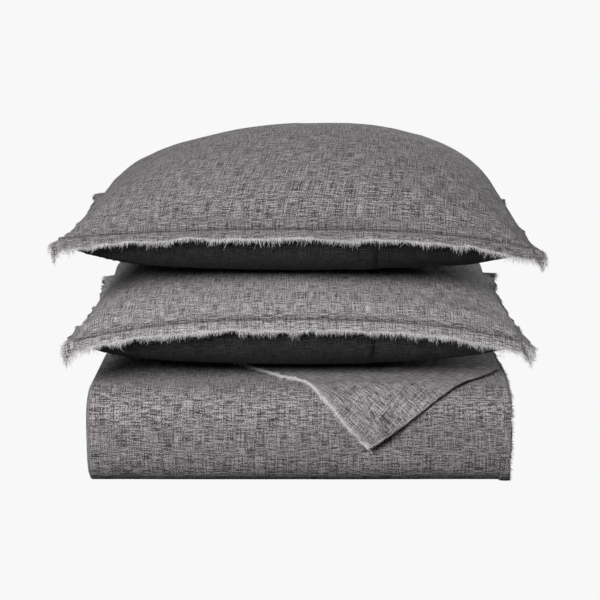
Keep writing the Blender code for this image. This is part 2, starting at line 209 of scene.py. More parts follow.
def chambray(name, dark, mean, pale):
    """Yarn-dyed cloth: dark warp and slubbed weft, drawn in metres of cloth."""
    n = Nodes(name)
    uv = n.add("ShaderNodeUVMap", uv_map="cloth").outputs[0]
    weft = n.stretched_noise(uv, 0.015, 0.00110, 3.1, 1.0)
    slub = n.stretched_noise(uv, 0.020, 0.0016, 9.4)
    warp = n.stretched_noise(uv, 0.00110, 0.0300, 5.7, 1.0)
    fleck = n.stretched_noise(uv, 0.0015, 0.0013, 1.3)
    cloud = n.stretched_noise(uv, 0.060, 0.045, 7.7, 2.0)
    long_weft = n.stretched_noise(uv, 0.045, 0.0021, 13.2)

    weft_tone = n.ramp(weft, 0.24, 0.76)
    warp_tone = n.ramp(warp, 0.26, 0.74)
    fleck_tone = n.ramp(fleck, 0.25, 0.75)
    tone = n.math("MULTIPLY", weft_tone, 0.31)
    tone = n.math("ADD", tone, n.math("MULTIPLY", warp_tone, 0.22))
    tone = n.math("ADD", tone, n.math("MULTIPLY", fleck_tone, 0.37))
    tone = n.math("ADD", tone, n.math("MULTIPLY", n.ramp(long_weft, 0.3, 0.7), 0.10))
    below = n.mix(n.ramp(tone, 0.34, 0.49), dark, mean)
    colour = n.mix(n.ramp(tone, 0.49, 0.65), below, pale)
    bright = n.math("MULTIPLY", n.ramp(slub, 0.70, 0.78), n.ramp(fleck, 0.35, 0.65))
    colour = n.mix(n.math("MULTIPLY", bright, 0.55), colour, tinted(pale, 1.25))
    deep = n.ramp(n.stretched_noise(uv, 0.016, 0.0013, 21.0), 0.275, 0.20)
    colour = n.mix(n.math("MULTIPLY", deep, 0.7), colour, tinted(dark, 0.6))
    shade = n.ramp(cloud, 0.2, 0.8)
    colour = n.mix(n.math("MULTIPLY", shade, 0.10), colour, mean)
    # painted shade: a positive 'tone' darkens the cloth towards near-black on the sham backs and along the
    # seams; a negative one lightens frayed edges to the pale yarn
    painted_shade_and_fray = n.add("ShaderNodeAttribute", attribute_name="tone").outputs["Fac"]
    colour = n.mix(n.ramp(painted_shade_and_fray, 0.0, 1.0), colour, tinted(dark, 0.30))
    frayed = n.math("MULTIPLY", n.ramp(n.math("MULTIPLY", painted_shade_and_fray, -1.0), 0.0, 1.0), n.ramp(fleck, 0.30, 0.55))
    colour = n.mix(frayed, colour, tinted(pale, 1.9))
    # painted light: the whole colour scaled up or down for the light each piece gets
    painted_light = n.add("ShaderNodeAttribute", attribute_name="painted_light").outputs["Fac"]
    with_painted_light = n.add("ShaderNodeVectorMath", {0: colour, "Scale": n.math("ADD", painted_light, 1.0)}, operation="SCALE")
    n.put(with_painted_light, n.shader.inputs["Base Color"])

    across, along = (
        n.add(
            "ShaderNodeTexWave",
            {"Vector": uv, "Scale": 1 / pitch / 2 / math.pi * WAVE_TURN},
            bands_direction=way,
        )
        for pitch, way in ((WARP_PITCH, "X"), (WEFT_PITCH, "Y"))
    )
    weave = n.math("MULTIPLY", across.outputs[1], along.outputs[1])
    height = n.math("ADD", n.math("MULTIPLY", tone, 0.8), n.math("MULTIPLY", weave, 0.35))
    height = n.math("ADD", height, n.math("MULTIPLY", bright, 0.5))
    bump = n.add("ShaderNodeBump", {"Height": height, "Strength": 0.7, "Distance": 0.0007})
    n.put(bump, n.shader.inputs["Normal"])
    n.put(n.math("SUBTRACT", 0.96, n.math("MULTIPLY", weft_tone, 0.12)), n.shader.inputs["Roughness"])
    n.shader.inputs["Specular IOR Level"].default_value = 0.18
    n.shader.inputs["Sheen Weight"].default_value = 0.10
    n.shader.inputs["Sheen Roughness"].default_value = 0.45
    n.shader.inputs["Sheen Tint"].default_value = (0.9, 0.88, 0.89, 1)
    return n.material


def thread_look(name, low, high):
    """Loose yarn: each thread has its own tone, and darkens towards its root."""
    n = Nodes(name)
    tone = n.add("ShaderNodeAttribute", attribute_name="tone").outputs["Fac"]
    n.put(n.mix(tone, low, high), n.shader.inputs["Base Color"])
    n.shader.inputs["Roughness"].default_value = 0.9
    n.shader.inputs["Specular IOR Level"].default_value = 0.15
    n.shader.inputs["Sheen Weight"].default_value = 0.12
    return n.material


def plain_cotton(name, colour, cell):
    """White cotton whose grain has cells of that size."""
    n = Nodes(name)
    place = n.add("ShaderNodeTexCoord").outputs["Object"]
    grain = n.add("ShaderNodeTexNoise", {"Vector": place, "Scale": 1 / cell, "Detail": 4.0}).outputs[0]
    n.put(n.mix(n.ramp(grain, 0.3, 0.7), tinted(colour, 0.82), colour), n.shader.inputs["Base Color"])
    bump = n.add("ShaderNodeBump", {"Height": grain, "Strength": 0.4, "Distance": 0.0006})
    n.put(bump, n.shader.inputs["Normal"])
    n.shader.inputs["Roughness"].default_value = 0.9
    n.shader.inputs["Sheen Weight"].default_value = 0.1
    return n.material


def shell_look(name, colour):
    """Polished shell with soft swirls."""
    n = Nodes(name)
    place = n.add("ShaderNodeTexCoord").outputs["Object"]
    swirl = n.add(
        "ShaderNodeTexNoise", {"Vector": place, "Scale": 180.0, "Detail": 3.0, "Distortion": 2.5}
    ).outputs[0]
    n.put(n.mix(n.ramp(swirl, 0.35, 0.7), colour, tinted(colour, 1.7)), n.shader.inputs["Base Color"])
    n.put(n.math("ADD", n.math("MULTIPLY", swirl, 0.2), 0.18), n.shader.inputs["Roughness"])
    n.shader.inputs["Coat Weight"].default_value = 0.4
    n.shader.inputs["Coat Roughness"].default_value = 0.12
    return n.material


def look(name):
    """The named finish, made once from the colours in the panel."""
    found = bpy.data.materials.get(name)
    if found:
        return found
    colours = bpy.context.scene.duvet_set_colours
    dark, mean, pale = (tuple(c) + (1,) for c in (colours.dark_yarn, colours.cloth, colours.pale_yarn))
    if name == "chambray_cloth":
        return chambray(name, dark, mean, pale)
    if name == "pale_frayed_yarn":
        return thread_look(name, tinted(pale, 0.60), (1.0, 0.985, 0.98, 1))
    if name == "dark_frayed_yarn":
        return thread_look(name, tinted(dark, 0.5), tinted(mean, 0.8))
    if name == "white_ticking":
        return plain_cotton(name, (0.80, 0.79, 0.76, 1), 0.0012)
    if name == "white_batting":
        return plain_cotton(name, (0.86, 0.86, 0.84, 1), 0.012)
    if name == "grey_shell":
        return shell_look(name, (0.22, 0.21, 0.21, 1))
    raise ValueError(f"no finish named {name}")


# Meshes


def make_piece(name, points, faces, finish, uvs=None, tones=None):
    """A mesh piece from points, faces and, for each point, its place on the cloth or its yarn's tone."""
    mesh = bpy.data.meshes.new(name)
    mesh.from_pydata(np.asarray(points).tolist(), [], [tuple(int(i) for i in f) for f in faces])
    if uvs is not None:
        layer = mesh.uv_layers.new(name="cloth")
        corner_points = np.zeros(len(mesh.loops), np.int32)
        mesh.loops.foreach_get("vertex_index", corner_points)
        layer.data.foreach_set("uv", np.asarray(uvs, np.float32)[corner_points].ravel())
    if tones is not None:
        layer = mesh.attributes.new("tone", "FLOAT", "POINT")
        layer.data.foreach_set("value", np.asarray(tones, np.float32))
    mesh.validate()
    mesh.shade_smooth()
    mesh.materials.append(look(finish))
    piece = bpy.data.objects.new(name, mesh)
    bpy.context.scene.collection.objects.link(piece)
    return piece


def grid_faces(rows, columns, start=0, flip=False, wrap=False):
    """Four-cornered faces of a grid of points that are stored row by row."""
    faces = []
    for i in range(rows - 1):
        for j in range(columns if wrap else columns - 1):
            k = (j + 1) % columns
            face = (i * columns + j, (i + 1) * columns + j, (i + 1) * columns + k, i * columns + k)
            faces.append(tuple(start + f for f in (reversed(face) if flip else face)))
    return faces


def subdivided(piece, levels=1):
    """The piece with its subdivision applied."""
    modifier = piece.modifiers.new("smooth", "SUBSURF")
    modifier.levels = modifier.render_levels = levels
    apply_modifiers(piece)
    piece.data.shade_smooth()
    return piece


def apply_modifiers(piece):
    """The piece's mesh replaced by what its modifiers make of it."""
    graph = bpy.context.evaluated_depsgraph_get()
    done = bpy.data.meshes.new_from_object(piece.evaluated_get(graph), depsgraph=graph)
    old = piece.data
    piece.modifiers.clear()
    piece.data = done
    if old.users == 0:
        bpy.data.meshes.remove(old)


def rim_mask_of(rows, columns):
    """Marks the outer points of a grid."""
    rim = np.ones((rows, columns), bool)
    rim[1:-1, 1:-1] = False
    return rim


def rim_walk(rows, columns):
    """Places of a grid's outer points, in order round it."""
    walk = [(i, 0) for i in range(rows)] + [(rows - 1, j) for j in range(1, columns)]
    walk += [(i, columns - 1) for i in range(rows - 2, -1, -1)]
    return walk + [(0, j) for j in range(columns - 2, 0, -1)]


def just_inside(grid, walk):
    """For each place on the walk, the nearest point that isn't on the grid's rim."""
    rows, columns = grid.shape[:2]
    return np.array([grid[min(max(i, 1), rows - 2), min(max(j, 1), columns - 2)] for i, j in walk])


def paired_index(rim):
    """Point numbers of an upper and a lower grid that share the points on their rim."""
    upper = np.arange(rim.size).reshape(rim.shape)
    lower = upper.copy()
    lower[~rim] = rim.size + np.arange((~rim).sum())
    return upper, lower


def paired_faces(upper, lower):
    """Faces of both grids, which close on each other at their rim."""
    faces = []
    for i in range(upper.shape[0] - 1):
        for j in range(upper.shape[1] - 1):
            a, b = upper, lower
            faces.append((a[i, j], a[i + 1, j], a[i + 1, j + 1], a[i, j + 1]))
            faces.append((b[i, j], b[i, j + 1], b[i + 1, j + 1], b[i + 1, j]))
    return faces


def yarn_mesh(
    name, roots, ways, lengths, finish, seed, radius=0.00034, sag=0.25, curl=0.16, steps=4, tone=0.70
):
    """Loose yarns: each starts at its root, goes its own way and droops, as a thin three-sided tube."""
    rng = np.random.default_rng(seed)
    count = len(roots)
    shares = np.linspace(0, 1, steps + 1)
    ways = ways / np.linalg.norm(ways, axis=1, keepdims=True)
    side = np.cross(ways, (0.0, 0.0, 1.0)) + 1e-6
    side /= np.linalg.norm(side, axis=1, keepdims=True)
    lift = np.cross(side, ways)
    sway, rise = rng.normal(0, curl, (2, count))
    wiggle, phase = rng.uniform(0, 0.10, count), rng.uniform(0, 6.3, count)
    centre = np.zeros((steps + 1, count, 3))
    for k, t in enumerate(shares):
        centre[k] = roots + ways * (lengths * t)[:, None]
        bend = sway * t * t + wiggle * np.sin(phase + 5 * t) * t
        centre[k] += side * (lengths * bend)[:, None] + lift * (lengths * rise * t * t)[:, None]
        centre[k, :, 2] -= lengths * sag * t * t
    centre[..., 2] = np.maximum(centre[..., 2], 1.5 * radius)
    thick = radius * rng.uniform(0.75, 1.3, count)
    points = []
    for k, t in enumerate(shares):
        width = thick * (1.0 - 0.55 * t)
        for turn in (0, 2 * math.pi / 3, 4 * math.pi / 3):
            points.append(
                centre[k]
                + side * (width * math.cos(turn))[:, None]
                + lift * (width * math.sin(turn))[:, None]
            )
    points = np.stack(points, axis=1)  # for each yarn, its rings of three
    along = 0.62 + 0.38 * np.repeat(shares, 3)  # darker at the root
    tones = np.clip(rng.normal(tone, 0.26, count)[:, None] * along[None, :], 0, 1)
    faces = []
    ring = [
        (3 * k + a, 3 * k + (a + 1) % 3, 3 * k + 3 + (a + 1) % 3, 3 * k + 3 + a)
        for k in range(steps)
        for a in range(3)
    ] + [(2, 1, 0), (3 * steps, 3 * steps + 1, 3 * steps + 2)]
    size = 3 * (steps + 1)
    for c in range(count):
        base = c * size
        faces += [tuple(base + i for i in f) for f in ring]
    return make_piece(name, points.reshape(-1, 3), faces, finish, tones=tones.ravel())


# The shams


def sham_size(name, settings):
    """The sham's driving sizes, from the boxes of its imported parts."""
    front_low, front_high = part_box(name + "_front_panel")
    back_low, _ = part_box(name + "_back_panel")
    shape = dict(SHAM_SHAPES[name])
    seam = front_low.z + CORNER_DROOP + shape["lean"] / 2
    shape.update(
        half_width=front_high.x,
        half_depth=front_high.y,
        seam=seam,
        rise=front_high.z - seam + shape["extra_rise"],
        sink=seam - back_low.z,
        border=settings.border_width,
    )
    return shape


def seam_height(shape, u, v):
    """Height of the seam's surface: it arches along the front and back and drops at the corners."""
    arch = shape["arch"] * (1 - np.abs(u) ** 2.6) * np.abs(v) ** 3
    corner = np.abs(u * v) ** 3
    front_left, front_right, back_left, back_right = shape["corner_drops"]
    drops = np.where(
        v < 0, np.where(u < 0, front_left, front_right), np.where(u < 0, back_left, back_right)
    )
    return shape["seam"] + arch - corner * (CORNER_DROOP + drops) + shape["lean"] * v / 2


def sham_point(shape, u, v, side):
    """Points of the filled sham: side 1 is its top, -1 its underside, 0 its seam."""
    x = u * shape["half_width"] * (1 - SIDE_PULL * PULL_IN * (1 - v * v))
    y = v * shape["half_depth"] * (1 - PULL_IN * (1 - u * u))
    dome = np.clip((1 - u * u) * (1 - v * v), 0, 1)
    x = x + shape["crown_shift"] * dome * max(side, 0)
    z = seam_height(shape, u, v)
    if side > 0:
        top = shape["seam"] + shape["rise"] - z
        z = z + top * dome ** shape["rise_power"]
    elif side < 0:
        deep = z - (shape["seam"] - shape["sink"] + FLAP_ROOM)
        z = z - deep * dome ** shape["sink_power"]
    return np.stack([x, y, z], axis=-1)


def even_shares(shape, count, across):
    """Shares from -1 to 1 that cut the cloth into even cells."""
    fine = np.linspace(-1, 1, 801)
    zero = np.zeros_like(fine)
    run = np.zeros(801)
    for side in (1, -1):
        line = sham_point(shape, fine, zero, side) if across else sham_point(shape, zero, fine, side)
        run[1:] += np.cumsum(np.linalg.norm(np.diff(line, axis=0), axis=1)) / 2
    return np.interp(np.linspace(0, run[-1], count + 1), run, fine), run[-1]


def build_sham(name, settings):
    """One filled sham: its cover, fringes, envelope flap, pillow and stitching."""
    shape = sham_size(name, settings)
    cells_x, cells_y = settings.cells_across, int(settings.cells_across * 0.74)
    us, flat_width = even_shares(shape, cells_x, True)
    vs, flat_depth = even_shares(shape, cells_y, False)
    u, v = np.meshgrid(us, vs, indexing="ij")
    top, under = sham_point(shape, u, v, 1), sham_point(shape, u, v, -1)
    top, under = inflate(shape, top, under, flat_width, flat_depth, settings)
    flat = np.stack([(np.arange(cells_x + 1) / cells_x - 0.5) * flat_width] * (cells_y + 1), axis=1)
    flat_y = np.stack([(np.arange(cells_y + 1) / cells_y - 0.5) * flat_depth] * (cells_x + 1), axis=0)
    top, under = wrinkled(shape, u, v, flat, flat_y, top, under)
    cover, rim = sham_cover(name, shape, u, v, flat, flat_y, top, under)
    with_painted_light(cover, shape["painted_light"])
    fringes(name, shape, rim, settings)
    envelope_flap(name, u, flat, flat_y, under)
    pillow_insert(name, shape, top, under)
    seam_stitches(name, top, under)
    return cover


def inflate(shape, top, under, flat_width, flat_depth, settings):
    """Both panels blown up by pressure inside their stitched seam, and held near the sham's own shape."""
    nx, ny = top.shape[:2]
    inner = ~rim_mask_of(nx, ny)
    index_top, index_under = paired_index(~inner)
    points = np.concatenate([top.reshape(-1, 3), under[inner]])
    faces = paired_faces(index_top, index_under)
    mesh = bpy.data.meshes.new("blown")
    mesh.from_pydata(points.tolist(), [], [tuple(int(k) for k in f) for f in faces])
    blown = bpy.data.objects.new("blown", mesh)
    bpy.context.scene.collection.objects.link(blown)
    blown.shape_key_add(name="start")
    rest = blown.shape_key_add(name="flat")
    flat_xs, flat_ys = np.linspace(-0.5, 0.5, nx) * flat_width, np.linspace(-0.5, 0.5, ny) * flat_depth
    gx, gy = np.meshgrid(flat_xs, flat_ys, indexing="ij")
    ease = settings.cloth_ease
    flat = np.stack([gx * ease, gy * ease, np.zeros_like(gx)], axis=-1)
    flat = np.concatenate([flat.reshape(-1, 3), flat[inner]])
    rest.data.foreach_set("co", flat.astype(np.float32).ravel())
    held = blown.vertex_groups.new(name="held")
    edge = [int(k) for k in index_top[~inner]]
    held.add(edge, 1.0, "REPLACE")
    held.add([k for k in range(len(points)) if k not in set(edge)], settings.hold, "REPLACE")
    cloth = blown.modifiers.new("Cloth", "CLOTH")
    s = cloth.settings
    s.quality = 5
    s.mass = 0.12
    s.tension_stiffness = s.compression_stiffness = 25
    s.shear_stiffness = 4
    s.bending_stiffness = settings.stiffness
    s.tension_damping = s.compression_damping = 12
    s.shear_damping = 6
    s.bending_damping = 1
    s.air_damping = 3
    s.use_pressure = True
    s.uniform_pressure_force = settings.pressure
    s.vertex_group_mass = "held"
    s.pin_stiffness = 1.0
    s.rest_shape_key = rest
    s.effector_weights.gravity = 0
    cloth.collision_settings.use_collision = False
    cloth.collision_settings.use_self_collision = False
    scene = bpy.context.scene
    for step in range(1, settings.sim_steps + 1):
        scene.frame_set(step)
    graph = bpy.context.evaluated_depsgraph_get()
    done = blown.evaluated_get(graph)
    moved = np.zeros(len(points) * 3, np.float32)
    done.data.vertices.foreach_get("co", moved)
    moved = moved.reshape(-1, 3).astype(float)
    scene.frame_set(1)
    bpy.data.objects.remove(blown)
    bpy.data.meshes.remove(mesh)
    shift = moved - points
    far = np.linalg.norm(shift, axis=1, keepdims=True)
    cap = settings.cap
    shift *= np.where(far > 0, cap * np.tanh(far / cap) / np.maximum(far, 1e-9), 0)
    moved = points + shift
    new_top = moved[index_top.ravel()].reshape(nx, ny, 3)
    new_under = moved[index_under.ravel()].reshape(nx, ny, 3)
    floor = shape["seam"] - shape["sink"] + FLAP_ROOM
    new_under[..., 2] = np.maximum(new_under[..., 2], floor)
    return new_top, new_under


def wrinkled(shape, u, v, flat_x, flat_y, top, under):
    """Small puckers along the seam and slack ripples over the panels."""
    seed = shape["seed"]
    edge = np.minimum((1 - np.abs(u)) * shape["half_width"], (1 - np.abs(v)) * shape["half_depth"])
    near = np.exp(-edge / 0.030) * smoothstep(edge, 0.0, 0.008)
    along = np.where(
        (1 - np.abs(u)) * shape["half_width"] < (1 - np.abs(v)) * shape["half_depth"], flat_y, flat_x
    )
    pucker = 0.0020 * near * soft_noise(along, edge * 0.15, 0.013, seed)
    ripple = 0.0016 * soft_noise(flat_x, flat_y * 1.7, 0.085, seed + 1) * smoothstep(edge, 0.0, 0.05)
    fine = 0.0008 * soft_noise(flat_x, flat_y * 1.4, 0.030, seed + 2) * smoothstep(edge, 0.0, 0.03)
    folds = np.zeros_like(edge)
    for number, (side_x, side_y) in enumerate(((-1, -1), (1, -1), (-1, 1), (1, 1))):
        away_x, away_y = flat_x - flat_x.max() * side_x, flat_y - flat_y.max() * side_y
        far = np.hypot(away_x, away_y)
        turn = np.arctan2(away_y * -side_y, away_x * -side_x)
        crease = soft_noise(turn * 0.16, far * 0.12, 0.024, seed + 60 + number)
        crease = 0.6 * crease - 0.9 * np.exp(-((crease / 0.32) ** 2))
        folds += FOLD_HEIGHT * crease * np.exp(-far / 0.13) * smoothstep(far, 0.005, 0.050)
    folds = folds * smoothstep(edge, 0.0, 0.012)
    top = top.copy()
    top[..., 2] += pucker + ripple + fine + folds
    under = under.copy()
    under[..., 2] += np.abs(pucker) + 0.4 * np.abs(fine)
    return top, under


def sham_cover(name, shape, u, v, flat_x, flat_y, top, under):
    """The sewn cover: both panels, and outside the seam its doubled border, in one closed form."""
    seed = shape["seed"]
    border = shape["border"]
    steps = 6
    reaches = border * np.array([0.10, 0.24, 0.45, 0.66, 0.85, 1.0])
    nx, ny = u.shape

    def extended(grid):
        """The grid with the border's rows and columns round it, each repeating its nearest seam point."""
        return np.pad(grid, ((steps, steps), (steps, steps)) + ((0, 0),) * (grid.ndim - 2), mode="edge")

    big_u, big_v = extended(u), extended(v)
    out_x = np.concatenate([-reaches[::-1], np.zeros(nx), reaches])[:, None] * np.ones(ny + 2 * steps)
    out_y = np.concatenate([-reaches[::-1], np.zeros(ny), reaches])[None, :] * np.ones((nx + 2 * steps, 1))
    reach = np.maximum(np.abs(out_x), np.abs(out_y))
    cloth_x, cloth_y = extended(flat_x) + out_x, extended(flat_y) + out_y
    corner = np.abs(big_u * big_v) ** 4
    droop = np.where(np.abs(out_y) >= np.abs(out_x), 0.62, 0.30) * (1 + 0.30 * corner)
    droop = np.where(big_v > 0.5, droop * 0.6, droop)
    wave = soft_noise(cloth_x + cloth_y, cloth_y * 0 + 3, 0.055, seed + 5)
    wave += 0.8 * soft_noise(cloth_x + cloth_y, cloth_y * 0 + 9, 0.021, seed + 6)
    tilt = droop + 0.24 * wave
    share = reach / border
    blunt = np.sqrt(reach / np.maximum(np.hypot(out_x, out_y), 1e-9))
    notches = soft_noise(cloth_x + cloth_y, cloth_y * 0, 0.006, seed + 7)
    ragged = np.where(reach > 0, blunt, 1) + 0.09 * notches * share
    sheets = []
    for side, panel in ((1, top), (-1, under)):
        points = extended(panel)
        flat_run = np.cos(tilt) * ragged
        points[..., 0] += out_x * flat_run
        points[..., 1] += out_y * flat_run
        points[..., 2] -= reach * np.sin(tilt) * (0.65 + 0.35 * share)
        points[..., 2] -= TIP_CURL * np.minimum(np.abs(out_x), np.abs(out_y)) / border * (big_v < 0)
        half = BORDER_THICK / 2 * np.where(reach > 0, 0.75 + 0.45 * np.cos(np.pi * (share - 0.3)), 0.3)
        seam_side = (reach > 0) | (np.abs(big_u) == 1) | (np.abs(big_v) == 1)
        points[..., 2] += side * np.where(seam_side, half, 0)
        points[..., 2] -= np.where(seam_side & (reach == 0), SEAM_GROOVE, 0)
        sheets.append(points)
    rows, columns = sheets[0].shape[:2]
    upper, lower = sheets
    rim_mask = rim_mask_of(rows, columns)
    middle = (upper + lower) / 2
    upper[rim_mask] = middle[rim_mask]
    points = np.concatenate([upper.reshape(-1, 3), lower[~rim_mask]])
    cloth_up = np.stack([cloth_x, cloth_y], axis=-1)
    uvs = np.concatenate([cloth_up.reshape(-1, 2), cloth_up[~rim_mask] + (0.003, 0.003)])
    faces = paired_faces(*paired_index(rim_mask))
    lumps = 0.6 + 0.5 * soft_noise(cloth_x, cloth_y, 0.007, seed + 8)
    rim_fade = smoothstep(share, 0.80, 1.0) * np.where(np.abs(out_y) >= np.abs(out_x), 0.9, 0.3) * lumps
    # painted shade: the cloth darkened along the seam's crease
    seam_painted_shade = np.where(seam_side & (reach == 0), 0.55, 0.0)
    # painted shade: the underside darkened by UNDER_SHADE, less towards the frayed rim
    tone_up, tone_low = seam_painted_shade - rim_fade, np.maximum(seam_painted_shade, UNDER_SHADE) - rim_fade
    tones = np.concatenate([tone_up.ravel(), tone_low[~rim_mask]])
    cover = make_piece(name + "_cover", points, faces, "chambray_cloth", uvs=uvs, tones=tones)
    subdivided(cover)
    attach(cover, name)
    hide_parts(name + "_front_panel", name + "_back_underlap", name + "_flange")
    walk = rim_walk(rows, columns)
    rim = np.array([middle[i, j] for i, j in walk])
    return cover, (rim, rim - just_inside(middle, walk))


def grid_normals(points):
    """Unit normals of a grid of points, up for a grid that runs along +X and then +Y."""
    normals = np.cross(np.gradient(points, axis=0), np.gradient(points, axis=1))
    return normals / np.maximum(np.linalg.norm(normals, axis=-1, keepdims=True), 1e-12)


def closed_sheet(name, outer, inner, cloth, finish, tones=None):
    """A closed thin piece between two grids of points, with the cloth's coordinates on both."""
    rows, columns = outer.shape[:2]
    count = rows * columns
    faces = grid_faces(rows, columns) + grid_faces(rows, columns, start=count, flip=True)
    rim = [i * columns + j for i, j in rim_walk(rows, columns)]
    for a, b in zip(rim, rim[1:] + rim[:1]):
        faces.append((b, a, a + count, b + count))
    points = np.concatenate([outer.reshape(-1, 3), inner.reshape(-1, 3)])
    flat = cloth.reshape(-1, 2)
    marks = np.zeros(count) if tones is None else np.ravel(tones)
    uvs = np.concatenate([flat, flat + (0.0031, 0.0027)])
    return make_piece(name, points, faces, finish, uvs=uvs, tones=np.concatenate([marks, marks]))


def envelope_flap(name, u, flat_x, flat_y, under):
    """The outer of the back's two panels, which ends in a doubled hem across the back."""
    last = int(np.searchsorted(u[:, 0], FLAP_END))
    grid = under[: last + 1, 1:-1]
    cloth = np.stack([flat_x, flat_y], axis=-1)[: last + 1, 1:-1] + (0.5, 0.9)
    normals = -grid_normals(grid)
    hem = smoothstep(flat_x[: last + 1, 1:-1], flat_x[last, 0] - 0.034, flat_x[last, 0] - 0.028)
    fade = smoothstep(u[: last + 1, 1:-1], -1.0, -0.94)[..., None]
    from_front = flat_y[: last + 1, 1:-1] - flat_y.min()
    opened = smoothstep(from_front, 0.05, 0.16)[..., None]
    outside = grid + normals * (0.0003 + (0.0005 + 0.0009 * hem[..., None]) * opened) * fade
    # painted shade: the flap darkened like the sham's back panels
    marks = UNDER_SHADE * np.ones(grid.shape[:2])
    inside = grid - normals * 0.0004
    flap = closed_sheet(name + "_envelope_flap", inside, outside, cloth, "chambray_cloth", marks)
    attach(flap, name)
    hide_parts(name + "_back_panel")


def pillow_insert(name, shape, top, under):
    """The filled pillow inside the cover, in its own ticking, with the filling inside that."""
    for part, inset, finish, slot_name in (
        ("ticking", PILLOW_INSET, "white_ticking", "white_cotton"),
        ("fill", 2 * PILLOW_INSET, "white_batting", "batting"),
    ):
        upper = top[::2, ::2] - grid_normals(top)[::2, ::2] * inset
        lower = under[::2, ::2] + grid_normals(under)[::2, ::2] * inset
        shrink = 1 - 2.2 * inset / shape["half_depth"]
        upper[..., :2] *= shrink
        lower[..., :2] *= shrink
        edge = (upper + lower) / 2
        rows, columns = edge.shape[:2]
        rim = rim_mask_of(rows, columns)
        edge_z = ((top + under) / 2)[::2, ::2]
        upper[rim] = edge[rim]
        upper[rim, 2] = edge_z[rim, 2]
        b = paired_index(rim)[1]
        points = np.concatenate([upper.reshape(-1, 3), lower[~rim]])
        faces = grid_faces(rows, columns)
        for i in range(rows - 1):
            for j in range(columns - 1):
                faces.append((b[i, j], b[i, j + 1], b[i + 1, j + 1], b[i + 1, j]))
        insert = make_piece(name.replace("sham", f"pillow_{part}_form"), points, faces, finish)
        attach(insert, name)
        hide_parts(name.replace("sham", "pillow") + "_" + part)


def stitch_mesh(name, line, ups, finish, seed, length=0.0026, pitch=0.0034, radius=0.00032):
    """A row of stitches along a line of points, lying on the cloth whose normals are ups."""
    ways = np.gradient(line, axis=0)
    roots, out, _ = along_line(line, ways, pitch, np.random.default_rng(seed), scatter=0.06)
    up = along_line(line, ups, pitch, np.random.default_rng(seed), scatter=0.06)[1]
    up, out = unit(up), unit(out)
    side = np.cross(out, up)
    shares = ((-0.5, -0.15), (-0.3, 0.5), (0.0, 0.75), (0.3, 0.5), (0.5, -0.15))
    rings = []
    for run, height in shares:
        width = radius * (0.6 if abs(run) == 0.5 else 1.0)
        centre = roots + out * run * length + up * (height * radius)
        for turn in range(4):
            angle = math.pi / 2 * turn
            rings.append(centre + side * (width * math.cos(angle)) + up * (width * 0.8 * math.sin(angle)))
    points = np.stack(rings, axis=1)
    size = points.shape[1]
    ring = [
        (4 * k + a, 4 * k + (a + 1) % 4, 4 * k + 4 + (a + 1) % 4, 4 * k + 4 + a)
        for k in range(len(shares) - 1)
        for a in range(4)
    ] + [(3, 2, 1, 0), (size - 4, size - 3, size - 2, size - 1)]
    faces = [tuple(c * size + i for i in f) for c in range(len(roots)) for f in ring]
    tones = np.full(points.shape[0] * size, 0.5)
    return make_piece(name, points.reshape(-1, 3), faces, finish, tones=tones)


def seam_stitches(name, top, under):
    """The stitching that joins both panels to the border, just outside the filled part."""
    walk = rim_walk(*top.shape[:2]) + [(0, 0)]
    line = np.array([(top[i, j] + under[i, j]) / 2 for i, j in walk])
    out = line - just_inside(top, walk)
    out[:, 2] = 0
    out = unit(out)
    line = line + out * 0.0022
    line[:, 2] += BORDER_THICK * 0.28
    ups = np.tile((0.0, 0.0, 1.0), (len(line), 1)) + 0.6 * out
    piece = stitch_mesh(name + "_border_stitching", line, ups, "dark_frayed_yarn", 5)
    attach(piece, name)
    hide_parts(name + "_flange_stitching")


# The folded duvet


def front_fold(pack, radius, low_squareness, high_squareness, steps=28):
    """Points of a fold at the front, from its lower end up, round the middle of the pack."""
    turn = np.pi * np.arange(steps + 1) / steps
    reach, rise = np.sin(turn), -np.cos(turn)
    power = 2 / np.where(rise < 0, low_squareness, high_squareness)
    centre_y = pack["front"] + pack["height"] / 2
    y = centre_y - radius * np.clip(reach, 0, 1) ** power
    z = pack["height"] / 2 + radius * np.sign(rise) * np.abs(rise) ** power
    return np.stack([y, z], axis=1)


def duvet_size():
    """The folded duvet's driving sizes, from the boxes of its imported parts."""
    low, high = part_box("duvet_cover_face")
    pack = {
        "half_width": high.x,
        "front": low.y,
        "back": high.y,
        "height": high.z,
        "layer_end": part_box("foot_placket")[0].y - GAP,
    }
    pack["half_layer"] = pack["height"] / LAYERS / 2
    pack["straight_end"] = pack["layer_end"] - STRAIGHT_PLY
    return pack


def duvet_line(pack, spacing):
    """The mid-line of the folded duvet in the side view, at even spacing."""
    half = pack["half_layer"]
    outer = front_fold(pack, pack["height"] / 2 - half, LOW_SQUARENESS, HIGH_SQUARENESS)
    inner = front_fold(pack, half, 2, 2)[::-1]
    turn = np.pi * np.arange(15) / 14
    fold_y = pack["back"] - 2 * half
    back = np.stack([fold_y + half * np.sin(turn), pack["height"] - 2 * half + half * np.cos(turn)], axis=1)
    ends = pack["layer_end"], pack["straight_end"]
    line = np.vstack(
        [
            [(ends[0], half), (ends[1], half)],
            outer,
            [(ends[1], pack["height"] - half)],
            back,
            inner,
            [(ends[0], 3 * half)],
        ]
    )
    runs = np.concatenate([[0], np.cumsum(np.hypot(*np.diff(line, axis=0).T))])
    at = np.linspace(0, runs[-1], int(runs[-1] / spacing) + 1)
    return np.stack([np.interp(at, runs, line[:, 0]), np.interp(at, runs, line[:, 1])], axis=1), at


def line_normals(line):
    """Unit normals on the outer side of a line in the side view."""
    way = np.gradient(line, axis=0)
    way /= np.linalg.norm(way, axis=1, keepdims=True)
    return np.stack([-way[:, 1], way[:, 0]], axis=1)


